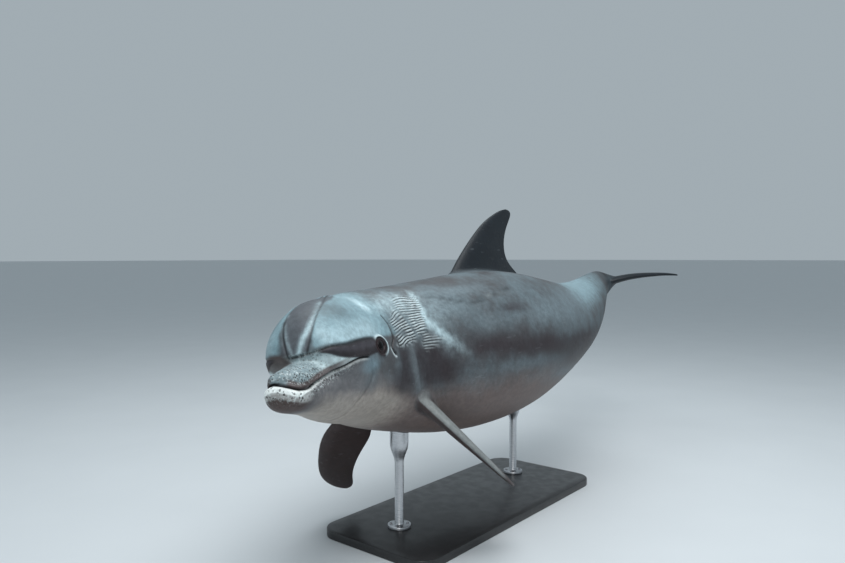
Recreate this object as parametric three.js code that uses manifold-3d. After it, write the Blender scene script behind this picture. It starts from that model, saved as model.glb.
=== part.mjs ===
// Bottlenose dolphin, life size, swimming with its head turned left, held on a display stand.
// Millimetres, +Z up. The origin is the middle of the underside of the stand's base.
// +X runs back along the trunk, +Y to the dolphin's right.
//
// The animal is first shaped straight, in "body" coordinates: x back from the tip of the upper
// beak, y to its right, z up from the long axis. bendPoint() then curves it along its spine, and
// standPoint() banks it and lifts it onto the stand.

import * as THREE from 'three';
import { mergeVertices } from 'three/addons/utils/BufferGeometryUtils.js';
import Module from 'manifold-3d';

const wasm = await Module();
wasm.setup();

// ---- Driving dimensions ----

const GAP = 0.3; // air between neighbouring pieces
const CUTTER_GROWTH = 0.4; // the body is grown by this to cut what sits on it
const AXIS_HEIGHT = 540; // long axis above the floor
const STAND_AT = 1000; // body x over the middle of the base
const BANK = 0.264; // roll about the long axis, right side down

const NECK_TURN = 0.458; // head turned to the left
const NECK_BEND = [330, 660]; // body x between which the neck curves
const TAIL_LIFT = 0.383; // tail raised
const TAIL_SWING = 0.168; // tail swung to the right
const TAIL_TWIST = 0.089; // flukes rolled against the trunk
const TAIL_BEND = [1150, 2300]; // body x between which the tail curves
const FLUKE_DROP = 0.268; // flukes levelled again at the end of the raised tail
const FLUKE_BEND = [1900, 2320];

const SNOUT_X = -9; // tip of the lower jaw
const SNOUT_Z = -66;
const TAIL_END = 2392; // notch between the flukes
const FAN_CENTRE = [200, 0, -20]; // the front of the head is laid out as rays from this point
const RING_CENTRED = 450; // from here back the rings are centred on the trunk
const FAN_STEPS = 26;
const FAN_DENSER = 0.65; // share of the fan's first steps, which are closer than the last ones
const SIDES = 32; // points round the body
const RAY = { reach: 340, step: 2.5, halvings: 14 }; // search along a ray for the surface
const MELON_BLEND = 14; // softness of the crease between melon and beak
const JAW_BLEND = 8;

// Cuts between the named lengths of the body, and the rings in each length
const LENGTHS = [
  { name: 'head', from: 205, to: 400, rings: 7 },
  { name: 'neck', from: 400, to: 505, rings: 5 },
  { name: 'thorax', from: 505, to: 930, rings: 9 },
  { name: 'abdomen', from: 930, to: 1560, rings: 12 },
  { name: 'tail_stock', from: 1560, to: TAIL_END, rings: 15 },
];

// Cross-sections along the body:
// [x, top, bottom, half width, where it is widest (share of the height), squareness]
const TRUNK_SECTIONS = [
  [98, 18, 18, 0, 0.5, 2.0],
  [108, 57, -14, 54, 0.4, 2.1],
  [136, 93, -46, 84, 0.38, 2.0],
  [180, 119, -80, 100, 0.38, 2.0],
  [245, 137, -115, 110, 0.41, 2.05],
  [340, 151, -148, 122, 0.44, 2.1],
  [450, 168, -180, 152, 0.45, 2.1],
  [600, 180, -218, 186, 0.46, 2.1],
  [800, 198, -256, 216, 0.46, 2.1],
  [1000, 213, -265, 230, 0.47, 2.1],
  [1200, 209, -244, 223, 0.47, 2.1],
  [1450, 170, -188, 185, 0.48, 2.05],
  [1700, 129, -152, 131, 0.5, 1.9],
  [1950, 97, -118, 82, 0.5, 1.75],
  [2150, 74, -79, 48, 0.5, 1.65],
  [2270, 54, -48, 32, 0.5, 1.7],
  [2340, 31, -27, 26, 0.5, 1.9],
  [TAIL_END, 9, -8, 14, 0.5, 2.0],
];
const UPPER_BEAK_SECTIONS = [
  [1, -37, -37, 0, 0.5, 2.2],
  [8, -25, -50, 23, 0.45, 2.3],
  [30, -18, -66, 36, 0.4, 2.4],
  [60, -13, -69, 42, 0.35, 2.4],
  [90, -7, -64, 48, 0.35, 2.4],
  [130, 3, -52, 59, 0.35, 2.3],
  [200, 18, -34, 82, 0.35, 2.2],
  [300, 30, -24, 108, 0.35, 2.1],
];
const LOWER_JAW_SECTIONS = [
  [SNOUT_X, -66, -66, 0, 0.5, 2.2],
  [0, -46, -88, 30, 0.55, 2.3],
  [25, -48, -101, 43, 0.62, 2.4],
  [60, -54, -107, 47, 0.66, 2.4],
  [90, -50, -111, 52, 0.66, 2.4],
  [130, -36, -118, 61, 0.66, 2.3],
  [200, -16, -134, 82, 0.64, 2.2],
  [300, -8, -153, 108, 0.62, 2.1],
  [420, 4, -167, 124, 0.58, 2.1],
];

// The mouth in side view [x, z], from in front of the snout to the corner of the smile
const MOUTH_LINE = [
  [-40, -47],
  [0, -48],
  [12, -52],
  [26, -61],
  [52, -64],
  [91, -58],
  [143, -38],
  [190, -24],
  [260, -18],
];
const JAW_ANGLE = [322, -200]; // the cut behind the jaw runs from the mouth's corner to here
const BEAK_CUT = { x: 108, z: 2 }; // the beak ends here, under the melon
const CUT_REACH = 300; // half length of the blocks that the head is cut with

const EYE = { at: [331, 113, 4], radii: [15, 11, 15] };
const BALL_STEPS = [14, 8]; // round and down the eyes and the blowhole's plug
const BLOWHOLE = { at: [338, 0, 145], radii: [13, 19, 5] };

// Fins as sections from root to tip: [span, leading edge, trailing edge, half thickness, lift]
const DORSAL_SECTIONS = [
  [150, 905, 1410, 34, 0],
  [205, 962, 1374, 27, 0],
  [240, 1001, 1337, 23, 0],
  [290, 1064, 1322, 19, 0],
  [340, 1134, 1343, 15, 0],
  [390, 1214, 1390, 10.5, 0],
  [428, 1306, 1432, 7, 0],
  [447, 1402, 1402, 3, 0],
];
const FLUKE_SECTIONS = [
  [2, 2216, 2386, 17, 0],
  [30, 2236, 2398, 16.5, 4],
  [80, 2263, 2417, 14, 9],
  [140, 2302, 2429, 11, 8],
  [200, 2346, 2438, 8, 1],
  [250, 2388, 2447, 5.5, -8],
  [285, 2424, 2456, 3.5, -18],
  [302, 2450, 2450, 1.5, -25],
];
const FLIPPER_SECTIONS = [
  [-70, -34, 40, 20, 0],
  [0, -48, 46, 18, 0],
  [40, -64, 58, 15.5, 0],
  [80, -74, 67, 13.5, 0],
  [140, -72, 63, 11, 0],
  [210, -59, 57, 8, 0],
  [280, -32, 64, 5.5, 0],
  [323, 6, 76, 3.5, 0],
  [348, 65, 65, 1.5, 0],
];
const FIN_SPAN_STEPS = 11;
const FIN_CHORD_STEPS = 7;
const FIN_DENSER = { root: 1.15, lead: 1.7 }; // draw the steps towards the root and the leading edge
const FIN_EDGE = 1.2; // half thickness of the trailing edges
const WING_CURVE = [0.2969, -0.126, -0.3516, 0.2843, -0.1036]; // thickness of a wing section in x's powers
const WING_EVEN = 10; // brings that curve's greatest half thickness to 1

// Flippers: root on the chest, direction of the span and of the chord, in body coordinates
const FLIPPERS = {
  flipper_left: { root: [566, -121, -157], span: [0.493, -0.355, -0.794], chord: [0.726, 0.672, 0.149] },
  flipper_right: { root: [566, 121, -157], span: [0.305, 0.745, -0.593], chord: [0.849, -0.504, -0.157] },
};

const BASE = { length: 940, width: 400, thickness: 24, corner: 60, edge: 3, cornerSteps: 6 };
const ROD = { radius: 13, foot: 34, footHeight: 9, cup: 27, cupHeight: 60, chamfer: 3, sides: 20 };
const BELLY_DEPTH = 262; // belly below the long axis, where the rods' cups are widest
const INTO_BELLY = 60; // the uncut rods end this far below the long axis
const RODS = { stand_rod_front: [-320, 20], stand_rod_rear: [330, 45] }; // places on the base, x and y

// ---- Colours and finishes ----

const finish = (color, roughness, metalness = 0) =>
  new THREE.MeshStandardMaterial({ color, roughness, metalness });
const FINISHES = {
  flank: finish(0x7d858c, 0.45),
  back: finish(0x5b6268, 0.45),
  fin: finish(0x2e3236, 0.45),
  beak: finish(0x9aa0a3, 0.45),
  eye: finish(0x14100f, 0.08),
  base: finish(0x26282b, 0.6),
  rod: finish(0xb9bcbf, 0.3, 1),
};

// ---- Curves ----

/** A natural cubic spline through (xs, ys), held level past its ends. */
function spline(xs, ys) {
  const last = xs.length - 1;
  const upper = new Array(last + 1).fill(0);
  const bends = new Array(last + 1).fill(0);
  for (let i = 1; i < last; i++) {
    const before = xs[i] - xs[i - 1];
    const after = xs[i + 1] - xs[i];
    const slopes = (ys[i + 1] - ys[i]) / after - (ys[i] - ys[i - 1]) / before;
    const pivot = 2 * (before + after) - before * upper[i - 1];
    upper[i] = after / pivot;
    bends[i] = (6 * slopes - before * bends[i - 1]) / pivot;
  }
  for (let i = last - 1; i > 0; i--) bends[i] -= upper[i] * bends[i + 1];
  return (value) => {
    const x = Math.min(Math.max(value, xs[0]), xs[last]);
    let i = 0;
    while (i < last - 1 && x > xs[i + 1]) i++;
    const step = xs[i + 1] - xs[i];
    const a = (xs[i + 1] - x) / step;
    const b = (x - xs[i]) / step;
    const curve = (a * a * a - a) * bends[i] + (b * b * b - b) * bends[i + 1];
    return a * ys[i] + b * ys[i + 1] + (curve * step * step) / 6;
  };
}

const smoothStep = (from, to, x) => {
  const t = Math.min(Math.max((x - from) / (to - from), 0), 1);
  return t * t * (3 - 2 * t);
};

/** The lesser of two distances, with the crease between them filled to a softness. */
function softMin(a, b, softness) {
  const share = Math.min(Math.max(0.5 + (0.5 * (b - a)) / softness, 0), 1);
  return b + (a - b) * share - softness * share * (1 - share);
}

// ---- The body's surface ----

/** A round-nosed solid through a list of cross-sections; distance() is negative inside it. */
class Loft {
  constructor(sections) {
    this.start = sections[0][0];
    this.end = sections[sections.length - 1][0];
    const along = sections.map((row) => Math.sqrt(row[0] - this.start));
    const column = (k) => spline(along, sections.map((row) => row[k]));
    [this.top, this.bottom, this.half, this.widest, this.square] = [1, 2, 3, 4, 5].map(column);
  }

  section(x) {
    const t = Math.sqrt(Math.max(x - this.start, 0));
    const top = this.top(t);
    const bottom = this.bottom(t);
    const middle = bottom + (top - bottom) * this.widest(t);
    return { top, bottom, middle, half: Math.max(this.half(t), 1e-3), square: this.square(t) };
  }

  distance(x, y, z) {
    const nose = this.start + 0.5;
    const s = this.section(Math.max(x, nose));
    const height = Math.max(z > s.middle ? s.top - s.middle : s.middle - s.bottom, 1e-3);
    const across = Math.pow(Math.abs(y) / s.half, s.square);
    const size = Math.pow(across + Math.pow(Math.abs(z - s.middle) / height, s.square), 1 / s.square);
    let depth = (size - 1) * Math.min(s.half, height);
    if (size > 1) depth = Math.hypot(y, z - s.middle) * (1 - 1 / size);
    depth = Math.max(depth, x - this.end - 0.5);
    return x < nose ? Math.max(depth, 0) + nose - x : depth;
  }
}

const trunkLoft = new Loft(TRUNK_SECTIONS);
const beakLoft = new Loft(UPPER_BEAK_SECTIONS);
const jawLoft = new Loft(LOWER_JAW_SECTIONS);

function bodyDistance(x, y, z) {
  const melonAndBeak = softMin(trunkLoft.distance(x, y, z), beakLoft.distance(x, y, z), MELON_BLEND);
  return softMin(melonAndBeak, jawLoft.distance(x, y, z), JAW_BLEND);
}

/** The farthest point of the body's surface on a ray, as a distance from its origin. */
function castRay(origin, direction) {
  const at = (t) => bodyDistance(...origin.map((value, k) => value + direction[k] * t));
  let inside = 0;
  for (let t = 0; t <= RAY.reach; t += RAY.step) if (at(t) < 0) inside = t;
  let outside = inside + RAY.step;
  for (let i = 0; i < RAY.halvings; i++) {
    const middle = (inside + outside) / 2;
    if (at(middle) < 0) inside = middle;
    else outside = middle;
  }
  return (inside + outside) / 2;
}

const roundSides = (make) => Array.from({ length: SIDES }, (_, k) => make((k * 2 * Math.PI) / SIDES));

/** A ring of the surface in the plane at body x. */
function ringAt(x) {
  const blend = smoothStep(FAN_CENTRE[0], RING_CENTRED, x);
  const z = FAN_CENTRE[2] * (1 - blend) + trunkLoft.section(x).middle * blend;
  return roundSides((angle) => {
    const direction = [0, Math.sin(angle), Math.cos(angle)];
    const reach = castRay([x, 0, z], direction);
    return [x, direction[1] * reach, z + direction[2] * reach];
  });
}

/** The front of the head: rings of rays from FAN_CENTRE, from the snout's tip to a flat ring. */
function headRings() {
  const toSnout = new THREE.Vector3(SNOUT_X, 0, SNOUT_Z).sub(new THREE.Vector3(...FAN_CENTRE)).normalize();
  const rings = [];
  for (let i = 1; i <= FAN_STEPS; i++) {
    const t = i / FAN_STEPS;
    const spread = (Math.PI / 2) * (FAN_DENSER * t + (1 - FAN_DENSER) * t * t);
    rings.push(roundSides((angle) => {
      const side = new THREE.Vector3(0, Math.sin(angle), Math.cos(angle)).multiplyScalar(Math.sin(spread));
      const direction = toSnout.clone().multiplyScalar(Math.cos(spread)).add(side).normalize().toArray();
      const reach = castRay(FAN_CENTRE, direction);
      return FAN_CENTRE.map((value, k) => value + direction[k] * reach);
    }));
  }
  const reach = castRay(FAN_CENTRE, toSnout.toArray());
  return { tip: FAN_CENTRE.map((value, k) => value + toSnout.getComponent(k) * reach), rings };
}

// ---- The pose ----

const SPINE_STEP = 4;
const SPINE_FROM = -60;
const SPINE_TO = 2540;
const spine = traceSpine();

/** The frame (back, right, up) of the spine at body x. */
function spineFrame(x) {
  const tail = smoothStep(...TAIL_BEND, x);
  const rise = TAIL_LIFT * tail - FLUKE_DROP * smoothStep(...FLUKE_BEND, x);
  const swing = TAIL_SWING * tail + NECK_TURN * (1 - smoothStep(...NECK_BEND, x));
  const back = new THREE.Vector3(
    Math.cos(rise) * Math.cos(swing), Math.cos(rise) * Math.sin(swing), Math.sin(rise));
  const level = new THREE.Vector3(-Math.sin(swing), Math.cos(swing), 0);
  const upright = new THREE.Vector3().crossVectors(back, level);
  const twist = TAIL_TWIST * tail;
  const right = level.clone().multiplyScalar(Math.cos(twist)).addScaledVector(upright, Math.sin(twist));
  const up = upright.multiplyScalar(Math.cos(twist)).addScaledVector(level, -Math.sin(twist));
  return { back, right, up };
}

/** Points along the bent spine, SPINE_STEP apart, with the one at STAND_AT at zero. */
function traceSpine() {
  const points = [new THREE.Vector3()];
  for (let x = SPINE_FROM; x < SPINE_TO; x += SPINE_STEP) {
    const next = points[points.length - 1].clone();
    points.push(next.addScaledVector(spineFrame(x + SPINE_STEP / 2).back, SPINE_STEP));
  }
  const middle = points[(STAND_AT - SPINE_FROM) / SPINE_STEP].clone();
  return points.map((point) => point.sub(middle));
}

function spinePoint(x) {
  const place = (x - SPINE_FROM) / SPINE_STEP;
  const i = Math.min(Math.floor(place), spine.length - 2);
  return spine[i].clone().lerp(spine[i + 1], place - i);
}

/** From the straight body to the bent one. */
function bendPoint([x, y, z]) {
  const { right, up } = spineFrame(x);
  return spinePoint(x).addScaledVector(right, y).addScaledVector(up, z);
}

/** From the bent body to its place on the stand. */
function standPoint(point) {
  return point.applyAxisAngle(new THREE.Vector3(1, 0, 0), -BANK).add(new THREE.Vector3(0, 0, AXIS_HEIGHT));
}

const posePoint = (point) => standPoint(bendPoint(point)).toArray();

// ---- Meshes and solids ----

/** A closed shell of rings: the first end a point or a flat cap, the last a flat cap. */
function shellOfRings(rings, tip = null) {
  const count = rings[0].length;
  const mean = (ring) => [0, 1, 2].map((k) => ring.reduce((sum, point) => sum + point[k], 0) / count);
  const points = [tip ?? mean(rings[0]), ...rings.flat(), mean(rings[rings.length - 1])];
  const at = (i, k) => 1 + i * count + (k % count);
  const faces = [];
  for (let k = 0; k < count; k++) {
    faces.push(0, at(0, k), at(0, k + 1));
    for (let i = 0; i < rings.length - 1; i++) {
      faces.push(at(i, k), at(i + 1, k + 1), at(i, k + 1), at(i, k), at(i + 1, k), at(i + 1, k + 1));
    }
    faces.push(points.length - 1, at(rings.length - 1, k + 1), at(rings.length - 1, k));
  }
  return geometryOf(points.flat(), faces);
}

function geometryOf(positions, faces) {
  const geometry = new THREE.BufferGeometry();
  geometry.setAttribute('position', new THREE.Float32BufferAttribute(positions, 3));
  geometry.setIndex(Array.from(faces));
  return geometry;
}

function mapPoints(geometry, change) {
  const { array } = geometry.attributes.position;
  for (let i = 0; i < array.length; i += 3) array.set(change(Array.from(array.slice(i, i + 3))), i);
  return geometry;
}

/** A manifold solid of a closed geometry, with its shared vertices merged and its faces outward. */
function solidOf(geometry) {
  const bare = geometry.clone();
  bare.deleteAttribute('normal');
  bare.deleteAttribute('uv');
  const merged = mergeVertices(bare, 1e-4);
  const vertProperties = new Float32Array(merged.attributes.position.array);
  const triVerts = new Uint32Array(merged.index.array);
  const solid = new wasm.Manifold(new wasm.Mesh({ numProp: 3, vertProperties, triVerts }));
  if (solid.volume() > 0) return solid;
  for (let i = 0; i < triVerts.length; i += 3) triVerts.subarray(i, i + 3).reverse();
  return new wasm.Manifold(new wasm.Mesh({ numProp: 3, vertProperties, triVerts }));
}

/** The geometry of the largest piece of a solid. */
function largestPiece(solid) {
  const pieces = solid.decompose();
  const largest = pieces.reduce((a, b) => (b.volume() > a.volume() ? b : a));
  const mesh = largest.getMesh();
  return geometryOf(mesh.vertProperties, mesh.triVerts);
}

/** A prism right across the head, from an outline in side view of [x, z] points. */
function prismAcross(outline) {
  const shape = new THREE.Shape(outline.map(([x, z]) => new THREE.Vector2(x, z)));
  const geometry = new THREE.ExtrudeGeometry(shape, { depth: 2 * CUT_REACH, bevelEnabled: false });
  return solidOf(geometry.rotateX(Math.PI / 2).translate(0, CUT_REACH, 0));
}

const dolphin = new THREE.Group();

function addNode(name, geometry, material, parent = dolphin) {
  const mesh = new THREE.Mesh(geometry, material);
  mesh.name = name;
  parent.add(mesh);
  return mesh;
}

// ---- Body lengths ----

/** Body x of a length's rings, drawn in from its cuts by half the gap. */
function ringPlaces({ from, to, rings }) {
  const first = from === LENGTHS[0].from ? from : from + GAP / 2;
  const last = to === TAIL_END ? to : to - GAP / 2;
  return Array.from({ length: rings }, (_, i) => first + ((last - first) * i) / (rings - 1));
}

const front = headRings();
const lengthRings = LENGTHS.map((length) => ringPlaces(length).map(ringAt));
const headSolid = solidOf(shellOfRings([...front.rings, ...lengthRings[0]], front.tip));

/** The whole body grown by the gap, in its pose: what fins and rods are cut with. */
function bodyCutter() {
  const rings = [...front.rings, ...lengthRings.flat()];
  const grown = rings.map((ring) => {
    const centre = [0, 1, 2].map((k) => ring.reduce((sum, point) => sum + point[k], 0) / SIDES);
    return ring.map((point) => {
      const out = new THREE.Vector3(...point).sub(new THREE.Vector3(...centre));
      return new THREE.Vector3(...point).addScaledVector(out.normalize(), CUTTER_GROWTH).toArray();
    });
  });
  return solidOf(mapPoints(shellOfRings(grown, front.tip), posePoint));
}

function ellipsoid({ at, radii }, grow = 0) {
  const ball = new THREE.SphereGeometry(1, ...BALL_STEPS);
  ball.scale(...radii.map((radius) => radius + grow));
  return ball.translate(...at);
}

const shifted = (line, dx, dz) => line.map(([x, z]) => [x + dx, z + dz]);

/** The space below the mouth and ahead of the jaw's angle, drawn out by a gap. */
function jawBlock(gap) {
  const mouth = shifted(MOUTH_LINE, gap, gap);
  return prismAcross([...mouth, ...shifted([JAW_ANGLE], gap, 0), [MOUTH_LINE[0][0], JAW_ANGLE[1]]]);
}

/** The space ahead of and below the crease under the melon, drawn out by a gap. */
function beakBlock(gap) {
  const x = BEAK_CUT.x + gap;
  const z = BEAK_CUT.z + gap;
  return prismAcross([[-CUT_REACH, -CUT_REACH], [x, -CUT_REACH], [x, z], [-CUT_REACH, z]]);
}

function addHead() {
  const upper = headSolid.subtract(jawBlock(GAP));
  let skull = upper.subtract(beakBlock(GAP));
  const [x, y, z] = EYE.at;
  const organs = [
    { name: 'eye_left', shape: { ...EYE, at: [x, -y, z] }, material: FINISHES.eye },
    { name: 'eye_right', shape: EYE, material: FINISHES.eye },
    { name: 'blowhole', shape: BLOWHOLE, material: FINISHES.back },
  ];
  for (const { name, shape, material } of organs) {
    skull = skull.subtract(solidOf(ellipsoid(shape, GAP)));
    addNode(name, mapPoints(largestPiece(solidOf(ellipsoid(shape))), posePoint), material);
  }
  addNode('head', mapPoints(largestPiece(skull), posePoint), FINISHES.flank);
  addNode('beak_upper', mapPoints(largestPiece(upper.intersect(beakBlock(0))), posePoint), FINISHES.beak);
  addNode('beak_lower', mapPoints(largestPiece(headSolid.intersect(jawBlock(0))), posePoint), FINISHES.beak);
}

function addLengths() {
  LENGTHS.forEach(({ name }, i) => {
    if (i > 0) addNode(name, mapPoints(shellOfRings(lengthRings[i]), posePoint), FINISHES.flank);
  });
}

// ---- Fins ----

/** Half thickness of a wing section at a share of its chord, for a greatest half thickness. */
function wingHalf(share, half) {
  const powers = [Math.sqrt(share), share, share ** 2, share ** 3, share ** 4];
  const curve = powers.reduce((sum, power, i) => sum + power * WING_CURVE[i], 0);
  const edge = FIN_EDGE * Math.min(half / (2 * FIN_EDGE), 1) * Math.min(4 * share, 1);
  return WING_EVEN * half * curve + edge;
}

/** A fin in its own coordinates: x along the chord, y along the span, z through it. */
function finShell(sections) {
  const root = sections[0][0];
  const tip = sections[sections.length - 1][0];
  const toTip = (span) => -Math.sqrt(Math.max((tip - span) / (tip - root), 0));
  const along = sections.map((row) => toTip(row[0]));
  const [lead, trail, half, lift] = [1, 2, 3, 4].map((k) => spline(along, sections.map((row) => row[k])));
  const places = Array.from({ length: FIN_CHORD_STEPS + 1 }, (_, k) => k / FIN_CHORD_STEPS);
  const shares = places.map((place) => place ** FIN_DENSER.lead);
  const rings = [];
  for (let i = 0; i < FIN_SPAN_STEPS; i++) {
    const t = -1 + (i / FIN_SPAN_STEPS) ** FIN_DENSER.root;
    const span = tip - (tip - root) * t * t;
    const point = (share, side) => {
      const x = lead(t) + (trail(t) - lead(t)) * share;
      return [x, span, lift(t) + side * wingHalf(share, half(t))];
    };
    const upper = shares.map((share) => point(share, 1));
    const lower = shares.slice(1).reverse().map((share) => point(share, -1));
    rings.push([...upper, ...lower]);
  }
  const end = [lead(0), tip, lift(0)];
  return shellOfRings(rings.reverse(), end);
}

const cutter = bodyCutter();

function addFin(name, sections, place) {
  const solid = solidOf(mapPoints(finShell(sections), place));
  addNode(name, largestPiece(solid.subtract(cutter)), FINISHES.fin);
}

function addFins() {
  addFin('dorsal_fin', DORSAL_SECTIONS, ([chord, span, through]) => posePoint([chord, through, span]));
  addFin('fluke_left', FLUKE_SECTIONS, ([chord, span, through]) => posePoint([chord, -span, through]));
  addFin('fluke_right', FLUKE_SECTIONS, ([chord, span, through]) => posePoint([chord, span, through]));
  for (const [name, { root, span, chord }] of Object.entries(FLIPPERS)) {
    const { back, right, up } = spineFrame(root[0]);
    const turn = new THREE.Matrix4().makeBasis(back, right, up);
    const spanWay = new THREE.Vector3(...span).normalize().applyMatrix4(turn);
    const chordWay = new THREE.Vector3(...chord).applyMatrix4(turn);
    chordWay.addScaledVector(spanWay, -chordWay.dot(spanWay)).normalize();
    const through = new THREE.Vector3().crossVectors(chordWay, spanWay);
    const place = ([x, y, z]) => {
      const point = bendPoint(root).addScaledVector(chordWay, x).addScaledVector(spanWay, y);
      return standPoint(point.addScaledVector(through, z)).toArray();
    };
    addFin(name, FLIPPER_SECTIONS, place);
  }
}

// ---- Stand ----

function baseShape(length, width, corner) {
  const [x, y] = [length / 2, width / 2];
  const shape = new THREE.Shape();
  shape.moveTo(-x + corner, -y).lineTo(x - corner, -y);
  shape.absarc(x - corner, -y + corner, corner, -Math.PI / 2, 0, false);
  shape.absarc(x - corner, y - corner, corner, 0, Math.PI / 2, false);
  shape.absarc(-x + corner, y - corner, corner, Math.PI / 2, Math.PI, false);
  shape.absarc(-x + corner, -y + corner, corner, Math.PI, 1.5 * Math.PI, false);
  return shape;
}

function addStand() {
  const inset = 2 * BASE.edge;
  const shape = baseShape(BASE.length - inset, BASE.width - inset, BASE.corner - BASE.edge);
  const base = new THREE.ExtrudeGeometry(shape, {
    depth: BASE.thickness - inset,
    bevelThickness: BASE.edge,
    bevelSize: BASE.edge,
    bevelSegments: 1,
    curveSegments: BASE.cornerSteps,
  });
  addNode('stand_base', base.translate(0, 0, BASE.edge), FINISHES.base);
  const footTop = BASE.thickness + GAP + ROD.footHeight;
  const rodTop = AXIS_HEIGHT - INTO_BELLY;
  const cupTop = AXIS_HEIGHT - BELLY_DEPTH;
  const cupBase = cupTop - ROD.cupHeight;
  const profile = [
    [0, BASE.thickness + GAP],
    [ROD.foot, BASE.thickness + GAP],
    [ROD.foot, footTop - ROD.chamfer],
    [ROD.foot - ROD.chamfer, footTop],
    [ROD.radius, footTop],
    [ROD.radius, cupBase],
    [ROD.cup, cupTop],
    [ROD.cup, rodTop],
    [0, rodTop],
  ].map(([radius, height]) => new THREE.Vector2(radius, height));
  for (const [name, [x, y]] of Object.entries(RODS)) {
    const rod = new THREE.LatheGeometry(profile, ROD.sides).rotateX(Math.PI / 2).translate(x, y, 0);
    addNode(name, largestPiece(solidOf(rod).subtract(cutter)), FINISHES.rod);
  }
}

addHead();
addLengths();
addFins();
addStand();

export default dolphin;
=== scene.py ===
"""Life-size bottlenose dolphin on a display stand: its skin, eyes and stand.

The animal is first shaped straight, in body coordinates: x back from the tip of the upper beak,
y to its right, z up from the long axis, in millimetres. Pose then curves it along its spine, banks
it and lifts it onto the stand. Meshes are stored in metres.
"""

import logging  # noqa: E402
import math  # noqa: E402
from collections.abc import Callable  # noqa: E402
from dataclasses import dataclass, field  # noqa: E402
from enum import Enum  # noqa: E402

import bpy  # noqa: E402
import numpy as np  # noqa: E402
from mathutils import Matrix, Vector  # noqa: E402
from mathutils.bvhtree import BVHTree  # noqa: E402


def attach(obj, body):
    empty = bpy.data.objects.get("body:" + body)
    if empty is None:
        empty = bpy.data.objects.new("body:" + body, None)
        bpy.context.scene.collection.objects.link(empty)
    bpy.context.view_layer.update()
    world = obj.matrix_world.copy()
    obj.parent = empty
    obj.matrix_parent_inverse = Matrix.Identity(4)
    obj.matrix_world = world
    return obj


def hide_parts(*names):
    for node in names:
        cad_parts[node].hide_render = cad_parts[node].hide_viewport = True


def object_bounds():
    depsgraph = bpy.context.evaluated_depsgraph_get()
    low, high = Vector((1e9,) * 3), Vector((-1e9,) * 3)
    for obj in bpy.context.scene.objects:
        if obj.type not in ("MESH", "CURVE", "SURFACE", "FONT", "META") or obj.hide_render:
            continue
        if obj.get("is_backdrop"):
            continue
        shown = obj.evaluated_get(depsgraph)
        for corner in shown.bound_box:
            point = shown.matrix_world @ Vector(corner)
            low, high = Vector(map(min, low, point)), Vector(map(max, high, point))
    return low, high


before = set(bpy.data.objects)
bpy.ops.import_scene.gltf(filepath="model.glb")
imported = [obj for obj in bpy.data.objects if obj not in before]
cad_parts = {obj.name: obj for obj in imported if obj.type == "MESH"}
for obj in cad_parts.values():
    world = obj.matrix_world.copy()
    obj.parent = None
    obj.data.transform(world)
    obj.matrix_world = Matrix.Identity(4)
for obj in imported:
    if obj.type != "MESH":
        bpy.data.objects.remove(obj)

LOG = logging.getLogger("dolphin")
MM = 0.001
ROOT = "root"
SHARP_ANGLE = 0.6

Array = np.ndarray
Faces = list[tuple[int, ...]]
Pair = tuple[float, float]
Triple = tuple[float, float, float]
Colour = tuple[float, float, float, float]
Rows = tuple[tuple[float, ...], ...]
ArrayMap = Callable[[Array], Array]
Material = bpy.types.Material
Socket = bpy.types.NodeSocket

# ---- Curves and noise ----


class Curve:
    """A natural cubic spline through points, held level past its ends."""

    def __init__(self, xs: Array, ys: Array) -> None:
        """Fit the spline.

        Args:
            xs: Places of the points, rising.
            ys: Values there, one or several columns.
        """
        self.xs = np.asarray(xs, float)
        self.ys = np.asarray(ys, float)
        count = len(self.xs)
        steps = np.diff(self.xs)
        shape = (-1,) + (1,) * (self.ys.ndim - 1)
        slopes = np.diff(self.ys, axis=0) / steps.reshape(shape)
        system = np.eye(count)
        right = np.zeros_like(self.ys)
        for i in range(1, count - 1):
            system[i, i - 1 : i + 2] = steps[i - 1], 2 * (steps[i - 1] + steps[i]), steps[i]
            right[i] = 6 * (slopes[i] - slopes[i - 1])
        self.bends = np.linalg.solve(system, right)

    def __call__(self, places: Array) -> Array:
        """Values of the spline at some places."""
        x = np.clip(places, self.xs[0], self.xs[-1])
        i = np.clip(np.searchsorted(self.xs, x, side="right") - 1, 0, len(self.xs) - 2)
        step = self.xs[i + 1] - self.xs[i]
        after = (x - self.xs[i]) / step
        if self.ys.ndim > 1:
            after, step = after[..., None], step[..., None]
        before = 1 - after
        bend = (before**3 - before) * self.bends[i] + (after**3 - after) * self.bends[i + 1]
        return before * self.ys[i] + after * self.ys[i + 1] + bend * step**2 / 6


def curve_through(points: Rows) -> Curve:
    """A spline through (place, value) pairs."""
    return Curve([p[0] for p in points], [p[1] for p in points])


def ease(low: float | Array, high: float | Array, x: Array) -> Array:
    """0 below low, 1 above high, smooth between."""
    t = np.clip((x - low) / (high - low), 0, 1)
    return t * t * (3 - 2 * t)


def within(x: Array, start: float, full: float, leaving: float, end: float) -> Array:
    """1 between two places, eased to 0 at the ones beyond them."""
    return ease(start, full, x) * ease(end, leaving, x)


def bump(x: Array, width: float | Array) -> Array:
    """A bell of height 1 about zero."""
    return np.exp(-((x / width) ** 2))


def cloud_at(x: Array, z: Array, row: tuple[float, ...]) -> Array:
    """A soft oval cloud, from its place, its height and its half length and half height."""
    place, height, half_long, half_high = row
    return bump(np.hypot((x - place) / half_long, (z - height) / half_high), 1.0)


def hermite(t: float, start: Array, leaving: Array, end: Array, arriving: Array) -> Array:
    """A point on the curve between two places, given how it leaves and arrives."""
    points = (2 * t**3 - 3 * t**2 + 1) * start + (t**3 - 2 * t**2 + t) * leaving
    return points + (3 * t**2 - 2 * t**3) * end + (t**3 - t**2) * arriving


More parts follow.
